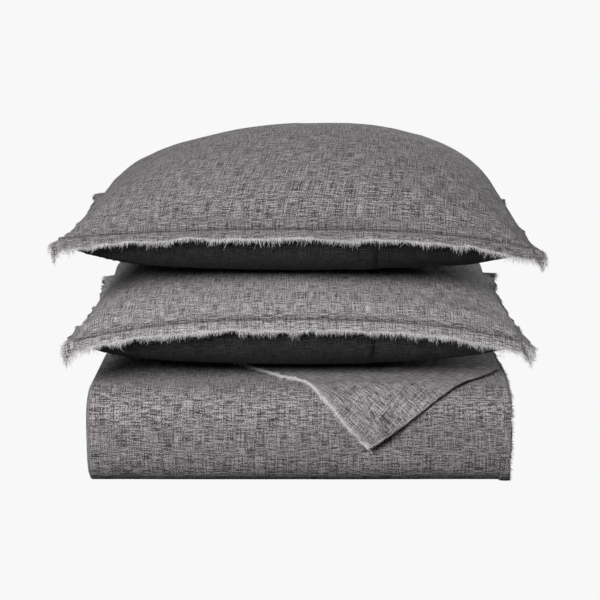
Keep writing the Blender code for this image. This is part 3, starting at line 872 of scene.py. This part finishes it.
def duvet_section(pack, spacing, inset):
    """The cross-section of one layer: places across the duvet and offsets from the mid-line, all round."""
    half, skin = pack["half_width"] - inset, pack["half_layer"] - GAP / 2 - inset
    across = np.linspace(-1, 1, int(2 * half / spacing) + 1)
    left, right = LEFT_END_ROUND, RIGHT_END_ROUND
    face_x = np.where(across < 0, across * (half - left), across * (half - right))
    angle = np.linspace(np.pi / 2, -np.pi / 2, 9)[1:-1]
    power = 2 / END_SQUARENESS
    bulge, height = np.cos(angle) ** power, np.sign(angle) * np.abs(np.sin(angle)) ** power
    xs = np.concatenate(
        [face_x, half - right + right * bulge, face_x[::-1], -(half - left) - left * bulge[::-1]]
    )
    offsets = np.concatenate(
        [np.full(len(face_x), skin), skin * height, np.full(len(face_x), -skin), skin * height[::-1]]
    )
    cloth = np.concatenate([[0], np.cumsum(np.hypot(np.diff(xs), np.diff(offsets)))])
    return xs, offsets, cloth


def duvet_slack(pack, x, run, y, z):
    """How far the outer cloth stands off its plain shape, along its normal."""
    front = smoothstep(-y, -pack["front"] - 0.075, -pack["front"] - 0.020) * smoothstep(z, 0.004, 0.022)
    roll = 0.0022 * soft_noise(x, run * 0.9, 0.110, 51) + 0.0011 * soft_noise(x * 0.7, run * 1.6, 0.045, 52)
    fine = 0.0005 * soft_noise(x, run * 1.5, 0.016, 53)
    heel = 0.0065 * np.exp(-((z - 0.004) ** 2 + (y - pack["front"] - 0.014) ** 2) / 0.011**2)
    edge = np.minimum(pack["half_width"] - x, pack["half_width"] + x)
    tug = 0.0012 * np.exp(-np.abs(edge) / 0.030) * soft_noise(run, edge * 0.3, 0.017, 54)
    swell = 0.0025 * np.cos(np.clip(x / pack["half_width"], -1, 1) * np.pi / 2)
    return front * (roll + fine + tug + swell) + heel


def corner_hollow(x, z):
    """How deep the duvet is pressed in beneath the corner's left edge."""
    edge_x = corner_edges(np.maximum(z - CORNER_TIP_Z, 0))[0] + 0.004
    width = np.where(x < edge_x, 0.026, 0.055)
    level = smoothstep(z, 0.034, 0.066) * (1 - smoothstep(z, 0.098, 0.124))
    return HOLLOW_DEPTH * level * np.exp(-(((x - edge_x) / width) ** 2))


def build_duvet(settings):
    """The duvet's cover and filling, swept along its folded mid-line."""
    pack = duvet_size()
    line, runs = duvet_line(pack, settings.cell)
    normals = line_normals(line)
    layers = (
        ("duvet_cover", 0.0, 1, "chambray_cloth", "chambray", ("duvet_cover_face", "duvet_cover_reverse")),
        ("duvet_filling", PILLOW_INSET, 3, "white_batting", "batting", ("duvet_insert",)),
    )
    for name, inset, step, finish, slot_name, nodes in layers:
        xs, offsets, cloth = duvet_section(pack, settings.cell * step, inset)
        rows = np.arange(0, len(line), step)
        rows[-1] = len(line) - 1
        mid, way, run = line[rows], normals[rows], runs[rows]
        inward = inset * np.where(np.arange(len(rows)) == 0, 1, 0) + inset * np.where(
            np.arange(len(rows)) == len(rows) - 1, 1, 0
        )
        mid = mid - np.stack([inward, 0 * inward], axis=1)
        y = mid[:, None, 0] + way[:, None, 0] * offsets[None]
        z = mid[:, None, 1] + way[:, None, 1] * offsets[None]
        x = np.tile(xs, (len(rows), 1))
        run_grid = np.tile(run[:, None], (1, len(xs)))
        outer = (offsets > 0)[None] * (run_grid < OUTER_PLY_RUN)
        slack = -corner_hollow(x, z) * outer
        if inset == 0.0:
            slack += duvet_slack(pack, x, run_grid, y, z) * outer
        y += way[:, None, 0] * slack
        z += way[:, None, 1] * slack
        z = np.maximum(z, GAP)
        points = np.stack([x, y, z], axis=-1)
        columns = len(xs)
        faces = grid_faces(len(rows), columns, wrap=True)
        body_faces = len(faces)
        flat_part = (columns - 14) // 2
        for start, way_round in ((0, 1), ((len(rows) - 1) * columns, -1)):
            caps = [(j, j + 1, 2 * flat_part + 5 - j, 2 * flat_part + 6 - j) for j in range(flat_part - 1)]
            caps.append(tuple(range(flat_part - 1, flat_part + 8)))
            caps.append(tuple(range(2 * flat_part + 6, 2 * flat_part + 14)) + (0,))
            faces += [tuple(start + j for j in cap)[::way_round] for cap in caps]
        uvs = np.stack([np.tile(cloth, (len(rows), 1)), run_grid], axis=-1).reshape(-1, 2)
        piece = make_piece(name, points.reshape(-1, 3), faces, finish, uvs=uvs)
        end_cloth(piece, body_faces)
        with_painted_light(piece, DUVET_PAINTED_LIGHT)
        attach(piece, "folded_duvet")
        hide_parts(*nodes)
    side_border(pack, line, normals, runs)


def end_cloth(piece, first):
    """The cloth's coordinates on a layer's two upright ends, so that its weave isn't stretched there."""
    mesh = piece.data
    layer = mesh.uv_layers["cloth"]
    for polygon in mesh.polygons[first:]:
        for loop in polygon.loop_indices:
            place = mesh.vertices[mesh.loops[loop].vertex_index].co
            layer.data[loop].uv = (place.x + 0.7, place.z)


def with_painted_light(piece, share):
    """Painted light: the whole piece a little lighter or darker than the mean cloth, for the light or shade
    it gets.
    """
    mark = piece.data.attributes.new("painted_light", "FLOAT", "POINT")
    mark.data.foreach_set("value", [share] * len(piece.data.vertices))


def side_border(pack, line, normals, runs):
    """The stitched border down the open side of the outer ply, with its dark frayed yarns."""
    keep = (runs > 0.05) & (runs < OUTER_PLY_RUN)
    mid, way, run = line[keep], normals[keep], runs[keep]
    share = np.linspace(0, 1, 6)
    inner_x, outer_x = pack["half_width"] - SIDE_BORDER, pack["half_width"] - 0.0005
    x = inner_x + (outer_x - inner_x) * share[None] + 0 * run[:, None]
    ragged = 0.0011 * soft_noise(run, run * 0, 0.011, 61) + 0.0006 * soft_noise(run, run * 0, 0.004, 62)
    x = x + ragged[:, None] * share[None]
    wave = 0.0011 * soft_noise(run, run * 0, 0.030, 63)[:, None] * share[None]
    skin = pack["half_layer"] - GAP / 2
    base_y, base_z = mid[:, None, 0] + way[:, None, 0] * skin, mid[:, None, 1] + way[:, None, 1] * skin
    slack = duvet_slack(pack, x, run[:, None] + 0 * x, base_y + 0 * x, base_z + 0 * x)
    stand = slack + 0.0007 + 0.0006 * np.sin(np.pi * share)[None] + np.maximum(wave, -0.0004)
    grids = []
    for lift in (0.0007, -0.0007):
        y = base_y + way[:, None, 0] * (stand + lift)
        z = np.maximum(base_z + way[:, None, 1] * (stand + lift), 0.0004 + max(lift, 0))
        grids.append(np.stack([x, y, z], axis=-1))
    outer, inner = grids
    cloth = np.stack([x + 1.3, run[:, None] + 0 * x], axis=-1)
    border = closed_sheet("duvet_side_border", inner, outer, cloth, "chambray_cloth")
    edge = (outer[:, -1] + inner[:, -1]) / 2
    ways = np.tile((1.0, 0.0, 0.0), (len(edge), 1)) + np.stack([0 * run, way[:, 0], way[:, 1]], axis=1) * 0.15
    rng = np.random.default_rng(64)
    roots, out, lengths = [], [], []
    for layer in range(2):
        r, w, at = along_line(edge, ways, 0.0013, rng)
        roots.append(r)
        out.append(w + rng.normal(0, 0.3, w.shape))
        size = 0.0028 + 0.0016 * soft_noise(at, at * 0, 0.012, 65) + rng.normal(0, 0.0012, len(at))
        lengths.append(np.clip(size, 0.001, 0.0085))
    roots, out, lengths = np.vstack(roots), np.vstack(out), np.concatenate(lengths)
    fray = yarn_mesh("duvet_side_fray", roots, out, lengths, "dark_frayed_yarn", 66, sag=0.3)
    ups = np.stack([0 * run, way[:, 0], way[:, 1]], axis=1)
    seam = outer[:, 1] + ups * 0.0001
    stitches = stitch_mesh("duvet_side_stitching", seam, ups, "dark_frayed_yarn", 67)
    for piece, slot_name in ((border, "chambray"), (fray, "dark_thread"), (stitches, "dark_thread")):
        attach(piece, "folded_duvet")
    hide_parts("duvet_side_fringe")


# The closure at the back


def build_closure():
    """The borders at the duvet cover's foot and head, its buttons and the tapes in its corners."""
    for node, trim, seed in (("foot_placket", "foot_fringe", 71), ("head_flange", "head_fringe", 72)):
        low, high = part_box(node)
        rows, columns = 90, 7
        x, y = np.meshgrid(
            np.linspace(low.x, high.x, rows), np.linspace(low.y, high.y, columns), indexing="ij"
        )
        share = (y - low.y) / (high.y - low.y)
        middle, half = (low.z + high.z) / 2, (high.z - low.z) / 2
        wave = 0.0013 * share * soft_noise(x, y * 0, 0.060, seed)
        y = y + 0.0009 * share * soft_noise(x, x * 0, 0.012, seed + 4)
        ridge = half * (0.75 + 0.25 * np.cos(share * 2 * np.pi))
        grids = [np.stack([x, y, middle + wave + side * ridge], axis=-1) for side in (1, -1)]
        cloth = np.stack([x + 2.0, y], axis=-1)
        band = closed_sheet(node + "_band", grids[0], grids[1], cloth, "chambray_cloth")
        edge = (grids[0][:, -1] + grids[1][:, -1]) / 2
        rng = np.random.default_rng(seed)
        roots, ways, at = along_line(edge, np.tile((0.0, 1.0, -0.1), (rows, 1)), 0.0012, rng)
        ways = ways + rng.normal(0, 0.2, ways.shape)
        lengths = np.clip(0.0065 + rng.normal(0, 0.0014, len(at)), 0.002, 0.0085)
        fray = yarn_mesh(trim + "_fray", roots, ways, lengths, "pale_frayed_yarn", seed + 1, sag=0.3)
        ups = np.tile((0.0, 0.0, 1.0), (rows, 1))
        seam = grids[0][:, 1] + ups * 0.0001
        stitches = stitch_mesh(node + "_stitching", seam, ups, "dark_frayed_yarn", seed + 2)
        for piece, slot_name, nodes in (
            (band, "chambray", (node,)),
            (fray, "pale_thread", (trim,)),
            (stitches, "dark_thread", ()),
        ):
            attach(piece, "folded_duvet")
            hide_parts(*nodes)
    for node in sorted(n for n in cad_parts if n.startswith("closure_button")):
        shell_button(node)
    for node in sorted(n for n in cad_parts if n.startswith("corner_tie")):
        tape_loop(node)


def shell_button(node):
    """A four-hole button with a raised rim, sewn on with two crossed threads."""
    low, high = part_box(node)
    middle, radius, thick = (low + high) / 2, (high.x - low.x) / 2, high.z - low.z
    underside = ((0.0, -0.5), (0.80, -0.5), (0.97, -0.22))
    raised_rim = ((1.0, 0.10), (0.95, 0.40), (0.84, 0.5), (0.72, 0.42))
    dish = ((0.62, 0.18), (0.40, 0.12), (0.0, 0.12))
    profile = underside + raised_rim + dish
    around = 32
    points = []
    for share, height in profile:
        for k in range(around):
            angle = 2 * math.pi * k / around
            points.append(
                (
                    middle.x + radius * share * math.cos(angle),
                    middle.y + radius * share * math.sin(angle),
                    middle.z + thick * height,
                )
            )
    faces = grid_faces(len(profile), around, wrap=True, flip=True)
    button = make_piece(node.replace("closure", "shell"), points, faces, "grey_shell")
    hole = radius * 0.24
    top = middle.z + thick * 0.16
    crossed = ((-1, -1), (1, 1), (-1, 1), (1, -1))
    corners = [Vector((middle.x + sx * hole, middle.y + sy * hole, top)) for sx, sy in crossed]
    roots = np.array([corners[0], corners[2]])
    ways = np.array([corners[1] - corners[0], corners[3] - corners[2]])
    lengths = np.linalg.norm(ways, axis=1)
    thread_name = node.replace("closure_button", "button_thread")
    thread = yarn_mesh(
        thread_name, roots, ways, lengths, "pale_frayed_yarn", 3, radius=0.0005, sag=-0.1, curl=0.0
    )
    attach(button, "folded_duvet")
    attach(thread, "folded_duvet")
    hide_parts(node)


def tape_loop(node):
    """A loop of narrow tape, folded double where the filling is tied in."""
    low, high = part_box(node)
    middle, half = (low + high) / 2, (high - low) / 2
    turns = 36
    rows = []
    for k in range(turns):
        angle = 2 * math.pi * k / turns
        y = middle.y + half.y * math.copysign(abs(math.cos(angle)) ** 0.4, math.cos(angle))
        z = middle.z + half.z * math.copysign(abs(math.sin(angle)) ** 0.8, math.sin(angle))
        inner_y = middle.y + (half.y - 0.0005) * math.copysign(abs(math.cos(angle)) ** 0.4, math.cos(angle))
        inner_z = middle.z + (half.z - 0.0004) * math.copysign(abs(math.sin(angle)) ** 0.8, math.sin(angle))
        outside = [(low.x, y, z), (middle.x, y, z), (high.x, y, z)]
        rows.append(outside + [(high.x, inner_y, inner_z), (low.x, inner_y, inner_z)])
    points = np.array(rows + rows[:1])
    faces = grid_faces(turns + 1, 5, wrap=True)
    faces = [tuple(i % (turns * 5) for i in f) for f in faces]
    loop = make_piece(node + "_tape", points[:-1].reshape(-1, 3), faces, "white_ticking")
    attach(loop, "folded_duvet")
    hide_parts(node)


# The turned-down corner


def corner_edges(distance):
    """The corner's left and right edges, this far along the cloth from its tip."""
    left = CORNER_TIP_X - 0.002 - 1.05 * distance + 0.033 * smoothstep(distance, 0.07, 0.20)
    left = left + 0.0019 * soft_noise(distance, distance * 0, 0.016, 81) * smoothstep(distance, 0, 0.02)
    right = CORNER_TIP_X + 0.002 + 1.12 * distance + 0.024 * np.sin(np.clip(distance / 0.17, 0, 1) * np.pi)
    right = right + 0.0008 * soft_noise(distance, distance * 0, 0.012, 82)
    return left, right


def build_corner(settings):
    """The corner of the cover, folded over at the top and hanging over the front."""
    pack = duvet_size()
    line, runs = duvet_line(pack, 0.002)
    outer = line + line_normals(line) * (pack["half_layer"] - GAP / 2)
    fold_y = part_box("corner_root")[1].y
    first = int(np.argmax((outer[:, 1] > CORNER_TIP_Z) & (outer[:, 0] < pack["front"] + 0.05)))
    last = int(np.argmax((outer[:, 0] > fold_y) & (outer[:, 1] > pack["height"] * 0.9)))
    outer, away = outer[first:last], line_normals(line)[first:last]
    run = np.concatenate([[0], np.cumsum(np.hypot(*np.diff(outer, axis=0).T))])
    length = run[-1]
    rows, columns = settings.corner_rows, settings.corner_columns
    distance = length * np.linspace(0, 1, rows) ** 1.15
    left, right = corner_edges(distance)
    right = np.minimum(right, pack["half_width"] - 0.002)
    share = np.linspace(0, 1, columns)
    x = left[:, None] * (1 - share) + right[:, None] * share
    d = distance[:, None] + 0 * x
    base = np.stack([np.interp(d, run, outer[:, 0]), np.interp(d, run, outer[:, 1])], axis=-1)
    normal = np.stack([np.interp(d, run, away[:, 0]), np.interp(d, run, away[:, 1])], axis=-1)
    plain_run = runs[first] + d
    slack = duvet_slack(pack, x, plain_run, base[..., 0], base[..., 1])
    hanging = 1 - smoothstep(d, 0.075, 0.150)
    left_lift = np.exp(-((share[None] * (right - left)[:, None] / 0.026) ** 1.5))
    right_lift = np.exp(-(1 - share[None]) * (right - left)[:, None] / 0.016)
    stand = 0.0016 + slack * (0.4 + 0.6 * hanging)
    raised = smoothstep(d, 0.004, 0.045) * (1 - smoothstep(d, 0.070, 0.150))
    stand += left_lift * (0.0035 * hanging + 0.0120 * raised * (0.8 + 0.4 * soft_noise(d, d * 0, 0.045, 83)))
    stand += hanging * 0.0026 * right_lift
    ripples = 0.0015 + 0.0012 * soft_noise(x + d, x - d, 0.05, 84) + 0.0005 * soft_noise(x, d, 0.018, 85)
    stand += hanging * ripples
    stand += 0.0012 * np.exp(-distance / 0.012)[:, None]
    grids = []
    for offset in (0.0, CORNER_PLY):
        yz = base + normal * (stand + offset)[..., None]
        grids.append(np.stack([x, yz[..., 0], yz[..., 1]], axis=-1))
    inner, outer_grid = grids
    diagonal = math.radians(CORNER_WEAVE_ANGLE)
    cloth_u = x * math.cos(diagonal) - d * math.sin(diagonal)
    cloth_v = x * math.sin(diagonal) + d * math.cos(diagonal)
    cloth = np.stack([cloth_u + 3.0, cloth_v], axis=-1)
    marks = -np.exp(-share[None] * (right - left)[:, None] / 0.0030)
    marks = marks * (0.85 + 0.5 * soft_noise(d, d * 0, 0.006, 89))
    corner = closed_sheet("turned_corner_cloth", inner, outer_grid, cloth, "chambray_cloth", marks)
    subdivided(corner)
    with_painted_light(corner, CORNER_PAINTED_LIGHT)
    pieces = [corner]
    rng = np.random.default_rng(86)
    middle = (inner + outer_grid) / 2
    pale_nodes, dark_nodes = (
        ("turned_corner_pale_fringe", "corner_root_fringe"),
        ("turned_corner_dark_fringe",),
    )
    for side, column, spacing, size, finish, slot_name, nodes in (
        ("pale", 0, 0.00085, 0.0036, "pale_frayed_yarn", "pale_thread", pale_nodes),
        ("dark", -1, 0.0022, 0.0034, "dark_frayed_yarn", "dark_thread", dark_nodes),
    ):
        edge = middle[:, column]
        other = middle[:, 2 if column == 0 else -3]
        ways = unit(edge - other)
        down = np.stack([0 * distance, -0.10 + 0 * distance, -0.75 * hanging[:, 0]], axis=1)
        outwards = np.stack([0 * distance, normal[:, 0, 0], normal[:, 0, 1]], axis=1)
        ways = ways + (down if side == "pale" else down * 0.4) + outwards * 0.25
        roots, out, lengths = [], [], []
        for layer in range(3 if side == "pale" else 1):
            r, w, at = along_line(edge, ways, spacing * (1 + 0.5 * layer), rng)
            w = w + rng.normal(0, 0.55 if side == "pale" else 0.3, w.shape)
            r = r + rng.normal(0, 0.0009 if side == "pale" else 0.0003, r.shape)
            uneven = 0.8 + 0.2 * soft_noise(at, at * 0, 0.008, 87) + rng.normal(0, 0.16, len(at))
            full = size * (1, 0.7, 1.3)[layer] * uneven
            roots.append(r)
            out.append(w)
            lengths.append(np.clip(full, size * 0.25, size * 1.6))
        if side == "pale":
            tangents = unit(np.gradient(edge, axis=0))
            for layer in range(3):
                r, w, at = along_line(edge, tangents, 0.0030, rng)
                roots.append(r + rng.normal(0, 0.0011, r.shape) + outwards[0] * 0.0008)
                out.append(w * rng.choice((-1, 1), (len(at), 1)) + rng.normal(0, 0.22, w.shape))
                lengths.append(rng.uniform(0.005, 0.010, len(at)))
        if side == "dark":
            picks = rng.choice(len(roots[0]) // 2, 7, replace=False) + len(roots[0]) // 2
            lengths[0][picks] = rng.uniform(0.010, 0.022, 7)
        roots, out, lengths = np.vstack(roots), np.vstack(out), np.concatenate(lengths)
        # painted light: the corner's pale yarns made lighter than the shams', to offset the shade on their
        # tilted edge
        tone = 1.5 if side == "pale" else 0.70
        fray = yarn_mesh(
            f"turned_corner_{side}_fray", roots, out, lengths, finish, 88, 0.00032,
            sag=0.35, curl=0.45, tone=tone,
        )
        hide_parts(*nodes)
        pieces.append(fray)
    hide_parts("turned_corner", "corner_root")
    for piece in pieces:
        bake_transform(piece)


def along_line(points, ways, spacing, rng, scatter=0.35):
    """Roots and ways of yarns at even spacing along a line of points."""
    runs = np.concatenate([[0], np.cumsum(np.linalg.norm(np.diff(points, axis=0), axis=1))])
    at = np.arange(0, runs[-1], spacing)
    at = np.clip(at + rng.uniform(-scatter, scatter, len(at)) * spacing, 0, runs[-1])
    roots = np.stack([np.interp(at, runs, points[:, k]) for k in range(3)], axis=1)
    out = np.stack([np.interp(at, runs, ways[:, k]) for k in range(3)], axis=1)
    return roots, out, at


def fringes(name, shape, rim, settings):
    """Frayed yarns round the border: pale at its front and back, dark at its sides."""
    line, ways = rim
    line, ways = np.vstack([line, line[:1]]), np.vstack([ways, ways[:1]])
    seed = shape["seed"] + 40
    rng = np.random.default_rng(seed)
    ways = unit(ways)
    long_side = np.abs(line[:, 1]) > shape["half_depth"] * 0.93
    close, wide = settings.yarn_spacing, settings.yarn_spacing * 1.5
    for part, keep, spacing, length, finish, slot_name in (
        ("pale", long_side, close, settings.pale_length, "pale_frayed_yarn", "pale_thread"),
        ("dark", ~long_side, wide, settings.dark_length, "dark_frayed_yarn", "dark_thread"),
    ):
        roots, out, lengths = [], [], []
        edges = np.flatnonzero(np.diff(np.concatenate([[0], keep.astype(int), [0]])))
        for start, stop in zip(edges[::2], edges[1::2]):
            if stop - start < 2:
                continue
            for layer in range(4 if part == "pale" else 2):
                apart, tall = ((1, 1), (1.3, 0.7), (1.8, 1.25), (0.9, 0.42))[layer]
                r, w, at = along_line(line[start:stop], ways[start:stop], spacing * apart, rng)
                clump = soft_noise(at, at * 0, 0.011, seed + layer)
                clump = clump + 0.6 * soft_noise(at, at * 0, 0.004, seed + 9)
                size = length * (0.66 + 0.36 * clump + rng.normal(0, 0.17, len(at))) * tall
                w = w + rng.normal(0, 0.26, w.shape) + (0, 0, -0.25)
                roots.append(r - w * 0.0016 + rng.normal(0, 0.0004, w.shape))
                out.append(w)
                lengths.append(np.clip(size, length * 0.2, length * 1.5))
        piece = yarn_mesh(
            f"{name}_{part}_fringe",
            np.vstack(roots),
            np.vstack(out),
            np.concatenate(lengths),
            finish,
            seed + 3,
            sag=0.42,
            curl=0.34,
            radius=0.00037 if part == "pale" else 0.00033,
        )
        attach(piece, name)
        if part == "pale":
            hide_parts(name + "_fringe")


class ShamProperties(bpy.types.PropertyGroup):
    border_width: FloatProperty(
        name="Border width", description="Plain border outside the stitching", default=0.0207, unit="LENGTH"
    )
    pale_length: FloatProperty(
        name="Pale fringe",
        description="Length of the frayed yarns at the front and back",
        default=0.0066,
        unit="LENGTH",
    )
    dark_length: FloatProperty(
        name="Dark fringe", description="Length of the frayed yarns at the sides",
        default=0.0045, unit="LENGTH",
    )
    yarn_spacing: FloatProperty(
        name="Yarn spacing",
        description="Distance between loose yarns",
        default=0.0010,
        unit="LENGTH",
        precision=5,
    )
    cells_across: IntProperty(
        name="Cells across", description="Cells of cloth across a sham", default=76, min=20
    )
    pressure: FloatProperty(name="Pressure", description="Pressure of the filling", default=2.0)
    hold: FloatProperty(name="Hold", description="How firmly the cloth keeps the sham's shape", default=0.10)
    stiffness: FloatProperty(name="Stiffness", description="Bending stiffness of the cloth", default=0.8)
    cloth_ease: FloatProperty(name="Ease", description="Cut size as a share of the filled size", default=1.0)
    cap: FloatProperty(name="Cap", description="Furthest that a point may move", default=0.010, unit="LENGTH")
    sim_steps: IntProperty(name="Steps", description="Steps of the cloth simulation", default=22)


class DuvetProperties(bpy.types.PropertyGroup):
    cell: FloatProperty(
        name="Cell", description="Size of a cell of the duvet's cloth", default=0.0085, unit="LENGTH"
    )
    corner_rows: IntProperty(
        name="Corner rows", description="Rows of cloth in the turned-down corner", default=56
    )
    corner_columns: IntProperty(name="Corner columns", description="Columns of its cloth", default=52)


class ColourProperties(bpy.types.PropertyGroup):
    dark_yarn: FloatVectorProperty(
        name="Dark yarn", description="Deepest tone of the cloth",
        subtype="COLOR", default=(0.036, 0.033, 0.034),
    )
    cloth: FloatVectorProperty(
        name="Cloth", description="Mean tone of the cloth", subtype="COLOR", default=(0.190, 0.176, 0.180)
    )
    pale_yarn: FloatVectorProperty(
        name="Pale yarn", description="Palest tone of the cloth", subtype="COLOR", default=(0.56, 0.53, 0.535)
    )


class StageProperties(bpy.types.PropertyGroup):
    distance: FloatProperty(name="Distance", description="Camera to the middle", default=2.40, unit="LENGTH")
    height: FloatProperty(name="Height", description="Height of the camera", default=0.741, unit="LENGTH")
    pitch: FloatProperty(
        name="Pitch", description="Camera looks down", default=math.radians(12.27), subtype="ANGLE"
    )
    lens: FloatProperty(name="Lens", description="Focal length in millimetres", default=93.3)


class DUVETSET_OT_stage(bpy.types.Operator):
    """Floor, soft lights and camera"""

    bl_idname = "duvetset.stage"
    bl_label = "Stage"

    def execute(self, context):
        build_stage(context.scene, context.scene.duvet_set_stage)
        return {"FINISHED"}


class DUVETSET_OT_duvet(bpy.types.Operator):
    """The folded duvet with its filling and stitched side border"""

    bl_idname = "duvetset.duvet"
    bl_label = "Folded duvet"

    def execute(self, context):
        build_duvet(context.scene.duvet_set_duvet)
        return {"FINISHED"}


class DUVETSET_OT_closure(bpy.types.Operator):
    """Borders, buttons and tapes at the duvet cover's open end"""

    bl_idname = "duvetset.closure"
    bl_label = "Closure"

    def execute(self, context):
        build_closure()
        return {"FINISHED"}


class DUVETSET_OT_corner(bpy.types.Operator):
    """The turned-down corner of the cover"""

    bl_idname = "duvetset.corner"
    bl_label = "Turned-down corner"

    def execute(self, context):
        build_corner(context.scene.duvet_set_duvet)
        return {"FINISHED"}


class DUVETSET_OT_shams(bpy.types.Operator):
    """The two filled shams with their borders and frayed edges"""

    bl_idname = "duvetset.shams"
    bl_label = "Shams"

    def execute(self, context):
        for name in SHAM_NAMES:
            build_sham(name, context.scene.duvet_set_shams)
        return {"FINISHED"}


def build_stage(scene, settings):
    """A self-lit floor and backdrop, three soft lights and the camera."""
    mesh = bpy.data.meshes.new("studio_floor")
    half = 30.0
    corners = [(-half, -half, 0), (half, -half, 0), (half, half, 0), (-half, half, 0)]
    mesh.from_pydata(corners, [], [(0, 1, 2, 3)])
    floor = bpy.data.objects.new("studio_floor", mesh)
    scene.collection.objects.link(floor)
    n = Nodes("studio_paper")
    n.shader.inputs["Base Color"].default_value = (0.0, 0.0, 0.0, 1)
    n.shader.inputs["Roughness"].default_value = 1.0
    n.shader.inputs["Specular IOR Level"].default_value = 0.0
    n.shader.inputs["Emission Color"].default_value = (1, 1, 1, 1)
    n.shader.inputs["Emission Strength"].default_value = 0.94
    mesh.materials.append(n.material)
    floor.visible_diffuse = False
    floor.visible_glossy = False
    around = 64
    ring = [2 * math.pi * k / around for k in range(around)]
    points = [(half * math.cos(a), half * math.sin(a), z) for z in (-0.5, half) for a in ring]
    faces = [(k, k + around, (k + 1) % around + around, (k + 1) % around) for k in range(around)]
    wall_mesh = bpy.data.meshes.new("studio_wall")
    wall_mesh.from_pydata(points, [], faces + [tuple(range(around, 2 * around))])
    wall_mesh.materials.append(n.material)
    wall = bpy.data.objects.new("studio_wall", wall_mesh)
    scene.collection.objects.link(wall)
    for sees in ("diffuse", "glossy", "shadow"):
        setattr(wall, "visible_" + sees, False)

    world = bpy.data.worlds.new("studio_air")
    world.use_nodes = True
    world.node_tree.nodes["Background"].inputs["Color"].default_value = (1, 1, 1, 1)
    world.node_tree.nodes["Background"].inputs["Strength"].default_value = 0.05
    scene.world = world

    def area(name, place, aim, size, power):
        light = bpy.data.lights.new(name, "AREA")
        light.shape = "DISK"
        light.size = size
        light.energy = power
        lamp = bpy.data.objects.new(name, light)
        lamp.location = place
        lamp.rotation_euler = (Vector(aim) - Vector(place)).to_track_quat("-Z", "Y").to_euler()
        scene.collection.objects.link(lamp)

    area("soft_key", (-1.00, -2.4, 1.74), (0, 0, 0.20), 1.5, 90)
    area("soft_top", (-0.2, -0.6, 3.0), (0, 0, 0.3), 1.6, 8)
    area("soft_back", (1.3, 2.7, 1.0), (0, 0, 0.20), 1.6, 44)

    camera = bpy.data.cameras.new("camera")
    camera.lens = settings.lens
    camera.sensor_width = 36
    eye = bpy.data.objects.new("camera", camera)
    eye.location = (0.002, -settings.distance, settings.height)
    eye.rotation_euler = (math.pi / 2 - settings.pitch, 0, 0)
    scene.collection.objects.link(eye)
    scene.camera = eye
    scene.view_settings.view_transform = "Standard"


class DUVETSET_PT_panel(bpy.types.Panel):
    """The pieces of the duvet set"""

    bl_label = "Duvet set"
    bl_idname = "DUVETSET_PT_panel"
    bl_space_type = "VIEW_3D"
    bl_region_type = "UI"
    bl_category = "Duvet set"

    def draw(self, context):
        for operator in OPERATORS:
            self.layout.operator(operator.bl_idname)


OPERATORS = (
    DUVETSET_OT_stage,
    DUVETSET_OT_duvet,
    DUVETSET_OT_closure,
    DUVETSET_OT_corner,
    DUVETSET_OT_shams,
)
GROUPS = {
    "duvet_set_colours": ColourProperties,
    "duvet_set_duvet": DuvetProperties,
    "duvet_set_shams": ShamProperties,
    "duvet_set_stage": StageProperties,
}


def register():
    for group in GROUPS.values():
        bpy.utils.register_class(group)
    for operator in OPERATORS:
        bpy.utils.register_class(operator)
    bpy.utils.register_class(DUVETSET_PT_panel)
    for name, group in GROUPS.items():
        setattr(bpy.types.Scene, name, PointerProperty(type=group))


def unregister():
    for name in GROUPS:
        delattr(bpy.types.Scene, name)
    bpy.utils.unregister_class(DUVETSET_PT_panel)
    for operator in reversed(OPERATORS):
        bpy.utils.unregister_class(operator)
    for group in reversed(list(GROUPS.values())):
        bpy.utils.unregister_class(group)


def main():
    register()
    for operator in OPERATORS:
        family, name = operator.bl_idname.split(".")
        getattr(getattr(bpy.ops, family), name)()


if __name__ == "__main__":
    main()
